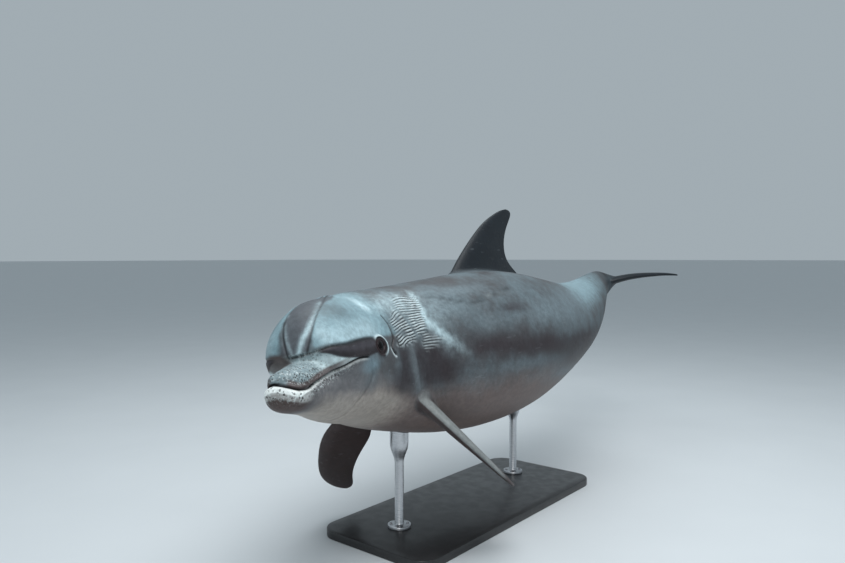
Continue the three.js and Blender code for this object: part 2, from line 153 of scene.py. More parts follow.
def soft_min(a: Array, b: Array, softness: float) -> Array:
    """The lesser of two distances, with the crease between them filled to a softness."""
    share = np.clip(0.5 + 0.5 * (b - a) / softness, 0, 1)
    return b + (a - b) * share - softness * share * (1 - share)


def unit(vectors: Array) -> Array:
    """Vectors brought to length 1."""
    lengths = np.linalg.norm(vectors, axis=-1, keepdims=True)
    return vectors / np.maximum(lengths, 1e-9)


class Noise:
    """Smooth value noise between -1 and 1, the same on every run."""

    SIDE = 32

    def __init__(self, seed: int) -> None:
        """Fill the lattice from a fixed seed."""
        side = self.SIDE
        self.table = np.random.default_rng(seed).uniform(-1, 1, (side, side, side))

    def __call__(self, points: Array, size: float | tuple[float, ...]) -> Array:
        """Noise at points.

        Args:
            points: N by 3 places.
            size: Size of the noise's lumps, one or one for each axis.

        Returns:
            N values.
        """
        p = points / np.asarray(size, float)
        low = np.floor(p).astype(int)
        part = p - low
        part = part * part * (3 - 2 * part)
        total = np.zeros(len(p))
        for corner in np.ndindex(2, 2, 2):
            at = (low + corner) % self.SIDE
            share = np.prod(np.where(corner, part, 1 - part), axis=1)
            total += share * self.table[at[:, 0], at[:, 1], at[:, 2]]
        return total


def path_distance(points: Array, path: Array) -> Array:
    """Distance from each point to a line through a list of points."""
    best = np.full(len(points), np.inf)
    for a, b in zip(path[:-1], path[1:]):
        along = b - a
        t = np.clip(((points - a) @ along) / (along @ along), 0, 1)
        best = np.minimum(best, np.linalg.norm(points - a - t[:, None] * along, axis=1))
    return best


def mirrored(points: Array) -> Array:
    """Points moved to the body's right side."""
    return np.column_stack([points[:, 0], np.abs(points[:, 1]), points[:, 2]])


# ---- The straight body ----

# Cross-sections: x, top, bottom, half width, where it is widest (share of height), squareness
TRUNK_ROWS: Rows = (
    (98, 18, 18, 0, 0.5, 2.0),
    (108, 57, -14, 54, 0.4, 2.1),
    (136, 93, -46, 84, 0.38, 2.0),
    (180, 119, -80, 100, 0.38, 2.0),
    (245, 137, -115, 110, 0.41, 2.05),
    (340, 151, -148, 122, 0.44, 2.1),
    (450, 168, -180, 152, 0.45, 2.1),
    (600, 180, -218, 186, 0.46, 2.1),
    (800, 198, -256, 216, 0.46, 2.1),
    (1000, 213, -265, 230, 0.47, 2.1),
    (1200, 209, -244, 223, 0.47, 2.1),
    (1450, 170, -188, 185, 0.48, 2.05),
    (1700, 129, -152, 131, 0.5, 1.9),
    (1950, 97, -118, 82, 0.5, 1.75),
    (2150, 74, -79, 48, 0.5, 1.65),
    (2270, 54, -48, 32, 0.5, 1.7),
    (2340, 31, -27, 26, 0.5, 1.9),
    (2392, 9, -8, 14, 0.5, 2.0),
)
BEAK_ROWS: Rows = (
    (1, -37, -37, 0, 0.5, 2.2),
    (8, -25, -50, 23, 0.45, 2.3),
    (30, -18, -66, 36, 0.4, 2.4),
    (60, -13, -69, 42, 0.35, 2.4),
    (90, -7, -64, 48, 0.35, 2.4),
    (130, 3, -52, 59, 0.35, 2.3),
    (200, 18, -34, 82, 0.35, 2.2),
    (300, 30, -24, 108, 0.35, 2.1),
)
JAW_ROWS: Rows = (
    (-9, -66, -66, 0, 0.5, 2.2),
    (0, -46, -88, 30, 0.55, 2.3),
    (25, -48, -101, 43, 0.62, 2.4),
    (60, -54, -107, 47, 0.66, 2.4),
    (90, -50, -111, 52, 0.66, 2.4),
    (130, -36, -118, 61, 0.66, 2.3),
    (200, -16, -134, 82, 0.64, 2.2),
    (300, -8, -153, 108, 0.62, 2.1),
    (420, 4, -167, 124, 0.58, 2.1),
)


class Loft:
    """A round-nosed solid through a list of cross-sections."""

    def __init__(self, rows: Rows) -> None:
        """Fit splines to the sections' columns."""
        table = np.array(rows, float)
        self.start = table[0, 0]
        self.end = table[-1, 0]
        self.columns = Curve(np.sqrt(table[:, 0] - self.start), table[:, 1:])

    def section(self, x: Array) -> tuple[Array, ...]:
        """Top, bottom, widest height, half width and squareness at x."""
        top, bottom, half, widest, square = self.columns(np.sqrt(np.maximum(x - self.start, 0))).T
        return top, bottom, bottom + (top - bottom) * widest, np.maximum(half, 1e-3), square

    def distance(self, points: Array) -> Array:
        """Signed distance of points from the solid, negative inside."""
        x, y, z = points.T
        nose = self.start + 0.5
        top, bottom, middle, half, square = self.section(np.maximum(x, nose))
        height = np.maximum(np.where(z > middle, top - middle, middle - bottom), 1e-3)
        across = (np.abs(y) / half) ** square
        size = (across + (np.abs(z - middle) / height) ** square) ** (1 / square)
        inside = (size - 1) * np.minimum(half, height)
        outside = np.hypot(y, z - middle) * (1 - 1 / np.maximum(size, 1e-9))
        depth = np.maximum(np.where(size > 1, outside, inside), x - self.end - 0.5)
        return np.where(x < nose, np.maximum(depth, 0) + nose - x, depth)


@dataclass(frozen=True)
class BodyForm:
    """The smooth body, and its surface by row u (tip to tail) and column v (round it)."""

    columns: int = 64
    fan_rows: int = 26
    fan_centre: Triple = (200, 0, -20)
    snout: Triple = (-9, 0, -66)
    fan_denser: float = 0.65
    ring_centred: float = 450
    melon_blend: float = 8
    jaw_blend: float = 7
    reach: float = 340
    search: float = 14
    row_places: Rows = ((26, 200), (44, 400), (60, 660), (79, 1000), (121, 1900), (141, 2225))
    trunk: Loft = field(default_factory=lambda: Loft(TRUNK_ROWS))
    beak: Loft = field(default_factory=lambda: Loft(BEAK_ROWS))
    jaw: Loft = field(default_factory=lambda: Loft(JAW_ROWS))
    table: dict[str, Array] = field(default_factory=dict)

    @property
    def rows(self) -> int:
        """Rows from the snout's tip to the root of the flukes."""
        return int(self.row_places[-1][0])

    def distance(self, points: Array) -> Array:
        """Signed distance of points from the whole body."""
        head = soft_min(self.trunk.distance(points), self.beak.distance(points), self.melon_blend)
        return soft_min(head, self.jaw.distance(points), self.jaw_blend)

    def normals(self, points: Array) -> Array:
        """Outward directions of the surface at points on it."""
        step = 0.5
        shifts = np.eye(3) * step
        grads = [self.distance(points + s) - self.distance(points - s) for s in shifts]
        return unit(np.column_stack(grads))

    def place_of_row(self, u: Array) -> Array:
        """Body x of rows behind the fan."""
        us, xs = np.array(self.row_places).T
        return np.interp(u, us, xs)

    def row_of_place(self, x: Array) -> Array:
        """Row of a body x behind the fan."""
        us, xs = np.array(self.row_places).T
        return np.interp(x, xs, us)

    def ring_centre(self, x: Array) -> Array:
        """Height of the middle of the ring at body x."""
        blend = ease(self.fan_centre[0], self.ring_centred, x)
        return self.fan_centre[2] * (1 - blend) + self.trunk.section(x)[2] * blend

    def grid_of(self, points: Array) -> Array:
        """Rows and columns over which points behind the fan lie."""
        x, y, z = points.T
        angle = np.arctan2(y, z - self.ring_centre(x))
        return np.column_stack([self.row_of_place(x), angle * self.columns / (2 * np.pi)])

    def rays(self, u: Array, v: Array) -> tuple[Array, Array]:
        """Starts and directions of the rays that find the surface."""
        angle = v * 2 * np.pi / self.columns
        side = np.column_stack([np.zeros_like(angle), np.sin(angle), np.cos(angle)])
        centre = np.array(self.fan_centre, float)
        ahead = unit(np.array(self.snout, float) - centre)
        t = np.clip(u / self.fan_rows, 0, 1)
        spread = (np.pi / 2) * (self.fan_denser * t + (1 - self.fan_denser) * t * t)
        fan = unit(ahead * np.cos(spread)[:, None] + side * np.sin(spread)[:, None])
        in_fan = (u <= self.fan_rows)[:, None]
        x = self.place_of_row(u)
        ring = np.column_stack([x, np.zeros_like(x), self.ring_centre(x)])
        return np.where(in_fan, centre, ring), np.where(in_fan, fan, side)

    def _march(self, rays: tuple[Array, Array], low: Array, high: Array, steps: int) -> Array:
        """Farthest place on each ray, between two bounds, that is on the surface."""
        origins, directions = rays
        step = (high - low) / steps
        inside = low.copy()
        for k in range(steps + 1):
            t = low + k * step
            within = self.distance(origins + directions * t[:, None]) < 0
            inside = np.where(within, t, inside)
        outside = inside + step
        for _ in range(12):
            middle = (inside + outside) / 2
            within = self.distance(origins + directions * middle[:, None]) < 0
            inside = np.where(within, middle, inside)
            outside = np.where(within, outside, middle)
        return (inside + outside) / 2

    def surface(self, u: Array, v: Array) -> Array:
        """Points of the smooth surface at rows u and columns v."""
        u, v = np.asarray(u, float), np.asarray(v, float)
        if "reach" not in self.table:
            us, vs = np.meshgrid(np.arange(self.rows + 1), np.arange(self.columns), indexing="ij")
            rays = self.rays(us.ravel().astype(float), vs.ravel().astype(float))
            low, high = np.zeros(us.size), np.full(us.size, self.reach)
            self.table["reach"] = self._march(rays, low, high, 100).reshape(us.shape)
        table = self.table["reach"]
        i = np.clip(np.floor(u).astype(int), 0, self.rows - 1)
        j = np.floor(v).astype(int)
        a, b = u - i, v - j
        left, right = j % self.columns, (j + 1) % self.columns
        near = table[i, left] * (1 - b) + table[i, right] * b
        far = table[i + 1, left] * (1 - b) + table[i + 1, right] * b
        guess = near * (1 - a) + far * a
        rays = self.rays(u, v)
        low = np.maximum(guess - self.search, 0)
        reach = self._march(rays, low, guess + self.search, 12)
        return rays[0] + rays[1] * reach[:, None]


@dataclass(frozen=True)
class Pose:
    """How the straight body is curved, banked and lifted."""

    axis_height: float = 540
    stand_at: float = 1000
    bank: float = 0.264
    neck_turn: float = 0.458
    neck_bend: Pair = (330, 660)
    tail_lift: float = 0.383
    tail_swing: float = 0.168
    tail_twist: float = 0.089
    tail_bend: Pair = (1150, 2300)
    fluke_drop: float = 0.268
    fluke_bend: Pair = (1900, 2320)
    step: float = 4
    first: float = -60
    last: float = 2540

    def axes(self, x: Array) -> Array:
        """The spine's back, right and up directions at body x, as N by 3 by 3."""
        tail = ease(*self.tail_bend, x)
        rise = self.tail_lift * tail - self.fluke_drop * ease(*self.fluke_bend, x)
        swing = self.tail_swing * tail + self.neck_turn * (1 - ease(*self.neck_bend, x))
        zero = np.zeros_like(rise)
        flat = np.cos(rise)
        back = np.column_stack([flat * np.cos(swing), flat * np.sin(swing), np.sin(rise)])
        level = np.column_stack([-np.sin(swing), np.cos(swing), zero])
        upright = np.cross(back, level)
        c, s = np.cos(self.tail_twist * tail)[:, None], np.sin(self.tail_twist * tail)[:, None]
        return np.stack([back, level * c + upright * s, upright * c - level * s], axis=1)

    def spine(self, x: Array) -> Array:
        """Points of the bent spine at body x."""
        knots = np.arange(self.first, self.last + self.step, self.step)
        steps = self.axes(knots[:-1] + self.step / 2)[:, 0] * self.step
        line = np.vstack([np.zeros(3), np.cumsum(steps, axis=0)])
        line -= line[round((self.stand_at - self.first) / self.step)]
        return np.column_stack([np.interp(x, knots, line[:, k]) for k in range(3)])

    def stand(self, points: Array) -> Array:
        """From the bent body to its place on the stand."""
        c, s = math.cos(self.bank), math.sin(self.bank)
        x, y, z = points.T
        return np.column_stack([x, y * c + z * s, z * c - y * s + self.axis_height])

    def __call__(self, points: Array) -> Array:
        """From the straight body to the posed one."""
        axes = self.axes(points[:, 0])
        bent = self.spine(points[:, 0])
        bent = bent + axes[:, 1] * points[:, 1:2] + axes[:, 2] * points[:, 2:3]
        return self.stand(bent)

    def rigid(self, points: Array, root: Array) -> Array:
        """Pose points without bending them, as a limb that is held at its root."""
        place = np.array([root[0]])
        axes = self.axes(place)[0]
        centre = self.spine(place)[0] + axes[1] * root[1] + axes[2] * root[2]
        return self.stand(centre + (points - root) @ axes)


# ---- The grid of skin over the body ----


def in_outline(points: Array, outline: Array) -> Array:
    """Whether flat points lie in a closed outline."""
    inside = np.zeros(len(points), bool)
    x, y = points.T
    for (ax, ay), (bx, by) in zip(outline, np.roll(outline, -1, axis=0)):
        if ay == by:
            continue
        crossed = (ay > y) != (by > y)
        inside ^= crossed & (x < (bx - ax) * (y - ay) / (by - ay) + ax)
    return inside


def signed_area(outline: Array) -> float:
    """Area of a flat outline, negative when it runs clockwise."""
    x, y = outline.T
    return float(np.sum(x * np.roll(y, -1) - np.roll(x, -1) * y) / 2)


def smooth_ring(values: Array, times: int) -> Array:
    """A closed run of values, each eased towards its two neighbours."""
    for _ in range(times):
        values = values / 2 + (np.roll(values, 1, axis=0) + np.roll(values, -1, axis=0)) / 4
    return values


def evened(points: Array, turns: Array) -> tuple[Array, Array]:
    """A closed run of points, and the turn at each, spaced evenly along the run."""
    closed = np.vstack([points, points[:1]])
    turns = np.unwrap(np.append(turns, turns[0]) * 2 * np.pi) / (2 * np.pi)
    along = np.append(0, np.cumsum(np.linalg.norm(np.diff(closed, axis=0), axis=1)))
    places = np.arange(len(points)) / len(points) * along[-1]
    even = [np.interp(places, along, closed[:, k]) for k in range(points.shape[1])]
    return np.column_stack(even), np.interp(places, along, turns)


@dataclass
class Loop:
    """A ring of mesh vertices round an opening.

    Attributes:
        ring: Vertex numbers in order.
        turns: Where each vertex is round the opening's outline, 0 to 1.
        forward: Whether the faces outside the ring run in the ring's order.
    """

    ring: Array
    turns: Array
    forward: bool


@dataclass
class SkinGrid:
    """Cells over the body's surface, finer where the skin has more to show."""

    form: BodyForm
    fine: int = 8
    uv: Array | None = None
    faces: Faces = field(default_factory=list)

    @property
    def around(self) -> int:
        """Finest columns round the body."""
        return self.form.columns * self.fine

    def cells(self, detail: ArrayMap) -> Array:
        """Split the base cells to the detail wanted.

        Args:
            detail: Function from points to the level wanted there, 0 to 3.

        Returns:
            Rows of first row, first column and size, in finest steps.
        """
        rows, columns = np.meshgrid(
            np.arange(self.form.rows), np.arange(self.form.columns), indexing="ij"
        )
        size = np.full(rows.size, self.fine)
        cells = np.column_stack([rows.ravel() * self.fine, columns.ravel() * self.fine, size])
        level, done, half = 1, [], self.fine // 2
        while half:
            middle = (cells[:, :2] + cells[:, 2:] / 2) / self.fine
            split = detail(self.form.surface(middle[:, 0], middle[:, 1])) >= level
            done.append(cells[~split])
            corner = cells[split][:, :2]
            steps = [(0, 0), (0, half), (half, 0), (half, half)]
            quarters = np.vstack([corner + np.array(s) for s in steps])
            cells = np.column_stack([quarters, np.full(len(quarters), half)])
            level, half = level + 1, half // 2
        return np.vstack(done + [cells])

    def build(self, detail: ArrayMap, outlines: list[Array]) -> None:
        """Make vertices and faces, leaving out what lies in the outlines.

        Args:
            detail: Function from points to the level wanted there.
            outlines: Openings, as closed runs of row and column.
        """
        cells = self.cells(detail)
        middle = (cells[:, :2] + cells[:, 2:] / 2) / self.fine
        gone = np.zeros(len(cells), bool)
        for outline in outlines:
            near = middle.copy()
            away = near[:, 1] - outline[:, 1].mean()
            near[:, 1] -= self.form.columns * np.round(away / self.form.columns)
            gone |= in_outline(near, outline[:, :2])
        cells = cells[~gone]
        used = np.zeros((self.form.rows * self.fine + 1, self.around), bool)
        for down in (0, 1):
            for across in (0, 1):
                row = cells[:, 0] + down * cells[:, 2]
                used[row, (cells[:, 1] + across * cells[:, 2]) % self.around] = True
        used[0] = False
        number = np.full(used.shape, -1)
        number[used] = np.arange(1, used.sum() + 1)
        number[0] = 0
        used[0] = True
        places = np.argwhere(used & (number > 0)) / self.fine
        self.uv = np.vstack([[0, 0], places])
        self.faces = [self._outline(number, *cell) for cell in cells.tolist()]

    def _outline(self, number: Array, i: int, j: int, size: int) -> tuple[int, ...]:
        """Vertices round one cell, with those its finer neighbours put on its edges."""
        wide = self.around
        if size == 1:
            ring = [number[i, j], number[i + 1, j]]
            ring += [number[i + 1, (j + 1) % wide], number[i, (j + 1) % wide]]
        else:
            steps = range(size)
            ring = [number[i + k, j] for k in steps]
            ring += [number[i + size, (j + k) % wide] for k in steps]
            ring += [number[i + size - k, (j + size) % wide] for k in steps]
            ring += [number[i, (j + size - k) % wide] for k in steps]
        kept: list[int] = []
        for vertex in ring:
            if vertex >= 0 and (not kept or vertex != kept[-1]):
                kept.append(int(vertex))
        if kept[0] == kept[-1]:
            kept.pop()
        return tuple(kept)

    def rims(self) -> list[list[int]]:
        """Rings of vertices along the edges that have a face on one side only."""
        edges = {e for f in self.faces for e in zip(f, f[1:] + f[:1])}
        after = {a: b for a, b in edges if (b, a) not in edges}
        rims = []
        while after:
            start, onward = after.popitem()
            ring = [start]
            while onward != start:
                ring.append(onward)
                onward = after.pop(onward)
            rims.append(ring)
        return rims

    def open(self, rims: list[list[int]], outline: Array, easing: int = 40) -> Loop:
        """Fit the rim of an opening to its outline, and ease the grid round it.

        Args:
            rims: All rims of the grid.
            outline: The opening's closed run of row, column and turn.
            easing: Times the rim's spacing is evened.

        Returns:
            The fitted rim.
        """
        centre = outline[:, :2].mean(axis=0)

        def unwrapped(uv: Array) -> Array:
            """Rows and columns brought to the outline's own turn round the body."""
            turns = np.round((uv[:, 1] - centre[1]) / self.form.columns)
            return np.column_stack([uv[:, 0], uv[:, 1] - self.form.columns * turns])

        spread = [np.linalg.norm(unwrapped(self.uv[r]).mean(0) - centre) for r in rims]
        ring = np.array(rims[int(np.argmin(spread))])
        forward = signed_area(unwrapped(self.uv[ring])) * signed_area(outline[:, :2]) > 0
        if not forward:
            ring = ring[::-1]
        closed = np.vstack([outline, outline[:1]])
        closed[:, 2] = np.unwrap(closed[:, 2] * 2 * np.pi) / (2 * np.pi)
        lengths = np.linalg.norm(np.diff(closed[:, :2], axis=0), axis=1)
        along = np.concatenate([[0], np.cumsum(lengths)])
        total = along[-1]
        flat = unwrapped(self.uv[ring])
        gaps = np.linalg.norm(flat[:, None] - outline[None, :, :2], axis=2)
        places = along[np.argmin(gaps, axis=1)]
        places = np.unwrap(places * 2 * np.pi / total) * total / (2 * np.pi)
        even = total * np.arange(len(ring)) / len(ring)
        slack = places - even
        places = even + smooth_ring(slack, easing)
        share = np.mod(places, total)
        turns = np.interp(share, along, closed[:, 2])
        fitted = [np.interp(share, along, closed[:, k]) for k in range(2)]
        self.uv[ring] = np.column_stack(fitted)
        self._relax(ring, unwrapped)
        return Loop(ring, turns, forward)

    def _relax(self, ring: Array, unwrapped: ArrayMap, depth: int = 4, times: int = 14) -> None:
        """Even out the vertices within a few faces of a rim."""
        reached = set(ring.tolist())
        fixed = set(reached)
        near: dict[int, set[int]] = {}
        for _ in range(depth):
            touched = [f for f in self.faces if not reached.isdisjoint(f)]
            reached.update(v for f in touched for v in f)
        for f in self.faces:
            if not reached.isdisjoint(f):
                for a, b in zip(f, f[1:] + f[:1]):
                    near.setdefault(a, set()).add(b)
                    near.setdefault(b, set()).add(a)
        free = sorted(reached - fixed)
        known = sorted(near)
        spot = {v: k for k, v in enumerate(known)}
        flat = unwrapped(self.uv[known])
        moving = [(spot[v], [spot[n] for n in near[v]]) for v in free]
        for _ in range(times):
            means = [flat[links].mean(axis=0) for _, links in moving]
            for (own, _), mean in zip(moving, means):
                flat[own] = flat[own] / 2 + mean / 2
        self.uv[known] = flat


# ---- Fins ----


@dataclass(frozen=True)
class FinShape:
    """A fin's sections along its span: span, lead, trail, half thickness, lift."""

    rows: Rows
    edge: float = 1.2
    full_edge: float = 2.4
    last_loop: float = 0.985
    crowding: float = 1.15

    @property
    def root(self) -> float:
        """Span of the first section."""
        return self.rows[0][0]

    @property
    def tip(self) -> float:
        """Span of the last section."""
        return self.rows[-1][0]

    def section(self, span: Array, turn: Array) -> Array:
        """Points of the fin's surface.

        Args:
            span: Distance out from the root.
            turn: Place round the section, 0 at the trailing edge and a half at the leading edge.

        Returns:
            N by 3: chord, span and height through the fin.
        """
        table = np.array(self.rows, float)
        reach = self.tip - self.root
        knots = -np.sqrt((self.tip - table[:, 0]) / reach)
        curve = Curve(knots, table[:, 1:])
        left = np.sqrt(np.maximum(self.tip - span, 0) / reach)
        lead, trail, half, lift = curve(-left).T
        share = (1 + np.cos(2 * np.pi * turn)) / 2
        wing = 0.2969 * np.sqrt(share) - 0.126 * share - 0.3516 * share**2
        wing = wing + 0.2843 * share**3 - 0.1036 * share**4
        rim = self.edge * np.minimum(half / self.full_edge, 1) * np.minimum(4 * share, 1)
        thick = 10 * half * wing + rim
        side = np.where(turn % 1 < 0.5, -1, 1)
        return np.column_stack([lead + (trail - lead) * share, span, lift + side * thick])

    def span_at(self, start: float | Array, t: float) -> Array:
        """Span a share t of the way from a start to the tip, in steps that shorten outwards."""
        full = self.tip - self.root
        left = np.sqrt((self.tip - start) / full)
        left = left * (1 - self.last_loop * (1 - (1 - t) ** self.crowding))
        return self.tip - full * left**2


@dataclass(frozen=True)
class FinPlace:
    """Where a fin's root is on the straight body, and which way it goes."""

    root: Triple
    chord: Triple
    span: Triple
    through: Triple

    def __call__(self, local: Array) -> Array:
        """Body points of a fin's own points."""
        return np.array(self.root) + local @ unit(np.array([self.chord, self.span, self.through]))


@dataclass
class SkinBuild:
    """The skin while it is made: straight-body points, faces and what each vertex belongs to."""

    points: Array
    faces: Faces
    fin: Array
    rigid: Array
    limb: Array
    lid: Array

    @classmethod
    def start(cls, points: Array, faces: Faces) -> "SkinBuild":
        """A skin that is body only."""
        zero = np.zeros(len(points))
        return cls(points, faces, zero, zero.copy(), zero.copy(), zero.copy())

    def add(
        self, points: Array, fin: float | Array = 0, rigid: float = 0, limb: int = 0, lid: float = 0
    ) -> Array:
        """Add vertices, and give their numbers."""
        first, count = len(self.points), len(points)
        self.points = np.vstack([self.points, points])
        for name, value in (("fin", fin), ("rigid", rigid), ("limb", limb), ("lid", lid)):
            extra = np.broadcast_to(np.asarray(value, float), (count,))
            setattr(self, name, np.concatenate([getattr(self, name), extra]))
        return np.arange(first, first + count)

    def bridge(self, inner: Array, outer: Array, forward: bool) -> None:
        """Join a ring to the next one out, vertex to vertex.

        Args:
            inner: Ring whose own faces are there already.
            outer: The next ring.
            forward: Whether those faces run in the ring's order.
        """
        for a, b, c, d in zip(inner, np.roll(inner, -1), np.roll(outer, -1), outer):
            quad = (b, a, d, c) if forward else (a, b, c, d)
            face = tuple(int(v) for k, v in enumerate(quad) if v != quad[k - 1])
            if len(set(face)) > 2:
                self.faces.append(face)

    def close(self, ring: Array, centre: int, forward: bool) -> None:
        """Fill a ring with a fan round one vertex."""
        for a, b in zip(ring, np.roll(ring, -1)):
            self.faces.append((int(b), int(a), centre) if forward else (int(a), int(b), centre))


@dataclass(frozen=True)
class Fin:
    """A fin that grows from an opening in the body's skin."""

    shape: FinShape
    place: FinPlace
    limb: int = 0
    lead_room: float = 34
    side_room: float = 20
    trail_room: float = 26
    clear: float = 15
    pull: float = 1.1
    fillet: int = 6
    loops: int = 38
    evened_by: float = 1 / 3
    samples: int = 360

    def on_skin(self, form: BodyForm, turns: Array, level: float) -> Array:
        """Span at which the fin's surface is a distance off the body."""
        reach = (self.shape.tip - self.shape.root) * 0.6
        low = np.full(len(turns), self.shape.root)
        high = low + reach
        for _ in range(24):
            span = (low + high) / 2
            near = form.distance(self.place(self.shape.section(span, turns))) < level
            low, high = np.where(near, span, low), np.where(near, high, span)
        return (low + high) / 2

    def outline(self, form: BodyForm) -> Array:
        """The opening in the skin, as rows of grid row, grid column and turn."""
        turns = (np.arange(self.samples) + 0.5) / self.samples
        local = self.shape.section(self.on_skin(form, turns, 0), turns)
        local, turns = evened(local, turns)
        flat = local[:, [0, 2]]
        along = np.roll(flat, -1, axis=0) - np.roll(flat, 1, axis=0)
        out = np.column_stack([-along[:, 1], np.zeros(len(flat)), along[:, 0]])
        if signed_area(flat) > 0:
            out = -out
        spacing = np.linalg.norm(along, axis=1).mean() / 2
        out = smooth_ring(unit(out), round(2 * (self.side_room / 3 / spacing) ** 2))
        root = self.place(local)
        away = self.place(unit(out)) - np.array(self.place.root)
        normal = form.normals(root)
        away = away - normal * np.sum(away * normal, axis=1, keepdims=True)
        share = (1 + np.cos(2 * np.pi * turns)) / 2
        room = self.side_room + (self.lead_room - self.side_room) * (1 - share) ** 4
        room += (self.trail_room - self.side_room) * share**4
        ring, turns = evened(root + unit(away) * room[:, None], turns)
        spacing = np.linalg.norm(ring[1] - ring[0])
        ring = smooth_ring(ring, round(2 * (self.side_room / 2 / spacing) ** 2))
        for _ in range(3):
            ring -= form.normals(ring) * form.distance(ring)[:, None]
        return np.column_stack([form.grid_of(ring), turns])

    def grow(self, skin: SkinBuild, form: BodyForm, loop: Loop) -> None:
        """Add the fillet, the fin and its tip to the skin.

        Args:
            skin: The skin so far.
            form: The body.
            loop: The opening's rim.
        """
        turns = loop.turns
        foot = skin.points[loop.ring]
        reach = self.on_skin(form, turns, self.clear)
        joint = self.place(self.shape.section(reach, turns))
        onward = self.place(self.shape.section(reach + 2, turns)) - joint
        gap = joint - foot
        normal = form.normals(foot)
        inward = gap - normal * np.sum(gap * normal, axis=1, keepdims=True)
        size = np.linalg.norm(gap, axis=1, keepdims=True) * self.pull
        start, end = unit(inward) * size, unit(onward) * size
        ring = loop.ring
        for k in range(1, self.fillet + 1):
            t = k / self.fillet
            points = hermite(t, foot, start, joint, end)
            share = t * t * (3 - 2 * t)
            held = share if self.limb else 0
            outer = skin.add(points, fin=share, rigid=held, limb=self.limb)
            skin.bridge(ring, outer, loop.forward)
            ring = outer
        even = turns[0] + np.arange(len(turns)) / len(turns)
        drift = np.unwrap(turns * 2 * np.pi) / (2 * np.pi) - even
        even = even + drift.mean()
        held = 1 if self.limb else 0
        for k in range(1, self.loops + 1):
            t = k / self.loops
            placed = even + (drift - drift.mean()) * (1 - ease(0, self.evened_by, t))
            points = self.place(self.shape.section(self.shape.span_at(reach, t), placed))
            outer = skin.add(points, fin=1 + t, rigid=held, limb=self.limb)
            skin.bridge(ring, outer, loop.forward)
            ring = outer
        middle = skin.points[ring].mean(axis=0, keepdims=True)
        tip = skin.add(middle, fin=2, rigid=held, limb=self.limb)
        skin.close(ring, int(tip[0]), loop.forward)


@dataclass(frozen=True)
class Flukes:
    """The two tail flukes, which grow from the last ring of the body."""

    shape: FinShape
    notch: Triple = (2390, 0, 0.5)
    midline: int = 15
    first_span: float = 54
    blend: int = 10
    loops: int = 40
    backward_pull: float = 95
    keel_pull: float = 16
    outward_pull: float = 60

    def grow(self, skin: SkinBuild, form: BodyForm, ring: Array) -> None:
        """Add both flukes.

        Args:
            skin: The skin so far.
            form: The body.
            ring: The body's last ring, from the top to the right, the bottom and the left.
        """
        half = len(ring) // 2
        start = form.place_of_row(np.array([form.rows]))[0]
        t = np.arange(1, self.midline + 1) / (self.midline + 1)
        xs = start + (self.notch[0] - start) * (1 - (1 - t) ** 1.25)
        top, bottom = form.trunk.section(xs)[:2]
        zero = np.zeros(self.midline)
        above = skin.add(np.column_stack([xs, zero, top]), fin=t)
        below = skin.add(np.column_stack([xs, zero, bottom]), fin=t)
        notch = skin.add(np.array([self.notch], float), fin=1)
        right = np.concatenate([notch, below[::-1], ring[half::-1], above])
        left_half = np.concatenate([ring[half:], ring[:1]])
        left = np.concatenate([notch, below[::-1], left_half, above])
        for side, base in ((1, right), (-1, left)):
            self._one(skin, base, side)

    def _one(self, skin: SkinBuild, base: Array, side: int) -> None:
        """Add one fluke from its closed first ring."""
        count = len(base)
        turns = np.arange(count) / count
        place = FinPlace((0, 0, 0), (1, 0, 0), (0, side, 0), (0, 0, 1))
        first = np.full(count, self.first_span)
        joint = place(self.shape.section(first, turns))
        foot = skin.points[base]
        on_ring = np.zeros(count, bool)
        on_ring[self.midline + 1 : count - self.midline] = True
        past = np.arange(count) - self.midline - 1
        around = np.clip(past / (count - 2 * self.midline - 2), 0, 1)
        lateral = np.sin(np.pi * around)
        start = np.zeros((count, 3))
        start[:, 0] = np.where(on_ring, self.backward_pull * (0.25 + 0.75 * lateral), 0)
        start[:, 1] = side * np.where(on_ring, 6, self.keel_pull)
        nearness = np.abs(np.where(on_ring, 0.5 - np.abs(around - 0.5), 0))
        start[:, 0] *= ease(0, 0.12, nearness)
        onward = place(self.shape.section(first + 2, turns)) - joint
        end = unit(onward) * self.outward_pull
        ring = base
        forward = side < 0
        for k in range(1, self.blend + 1):
            t = k / self.blend
            outer = skin.add(hermite(t, foot, start, joint, end), fin=0.3 + 0.7 * t)
            skin.bridge(ring, outer, forward)
            ring = outer
        for k in range(1, self.loops + 1):
            t = k / self.loops
            section = self.shape.section(self.shape.span_at(first, t), turns)
            outer = skin.add(place(section), fin=1 + t)
            skin.bridge(ring, outer, forward)
            ring = outer
        tip = skin.add(skin.points[ring].mean(axis=0, keepdims=True), fin=2)
        skin.close(ring, int(tip[0]), forward)


DORSAL = Fin(
    FinShape(
        (
            (150, 905, 1410, 34, 0), (205, 962, 1374, 27, 0), (240, 1001, 1337, 23, 0),
            (290, 1064, 1322, 19, 0), (340, 1134, 1343, 15, 0), (390, 1214, 1390, 10.5, 0),
            (428, 1306, 1432, 7, 0), (447, 1402, 1402, 3, 0),
        )
    ),
    FinPlace((0, 0, 0), (1, 0, 0), (0, 0, 1), (0, 1, 0)),
)
FLIPPER = FinShape(
    (
        (-70, -34, 40, 20, 0), (0, -48, 46, 18, 0), (40, -64, 58, 15.5, 0),
        (80, -74, 67, 13.5, 0), (140, -72, 63, 11, 0), (210, -59, 57, 8, 0),
        (280, -32, 64, 5.5, 0), (323, 6, 76, 3.5, 0), (348, 65, 65, 1.5, 0),
    )
)


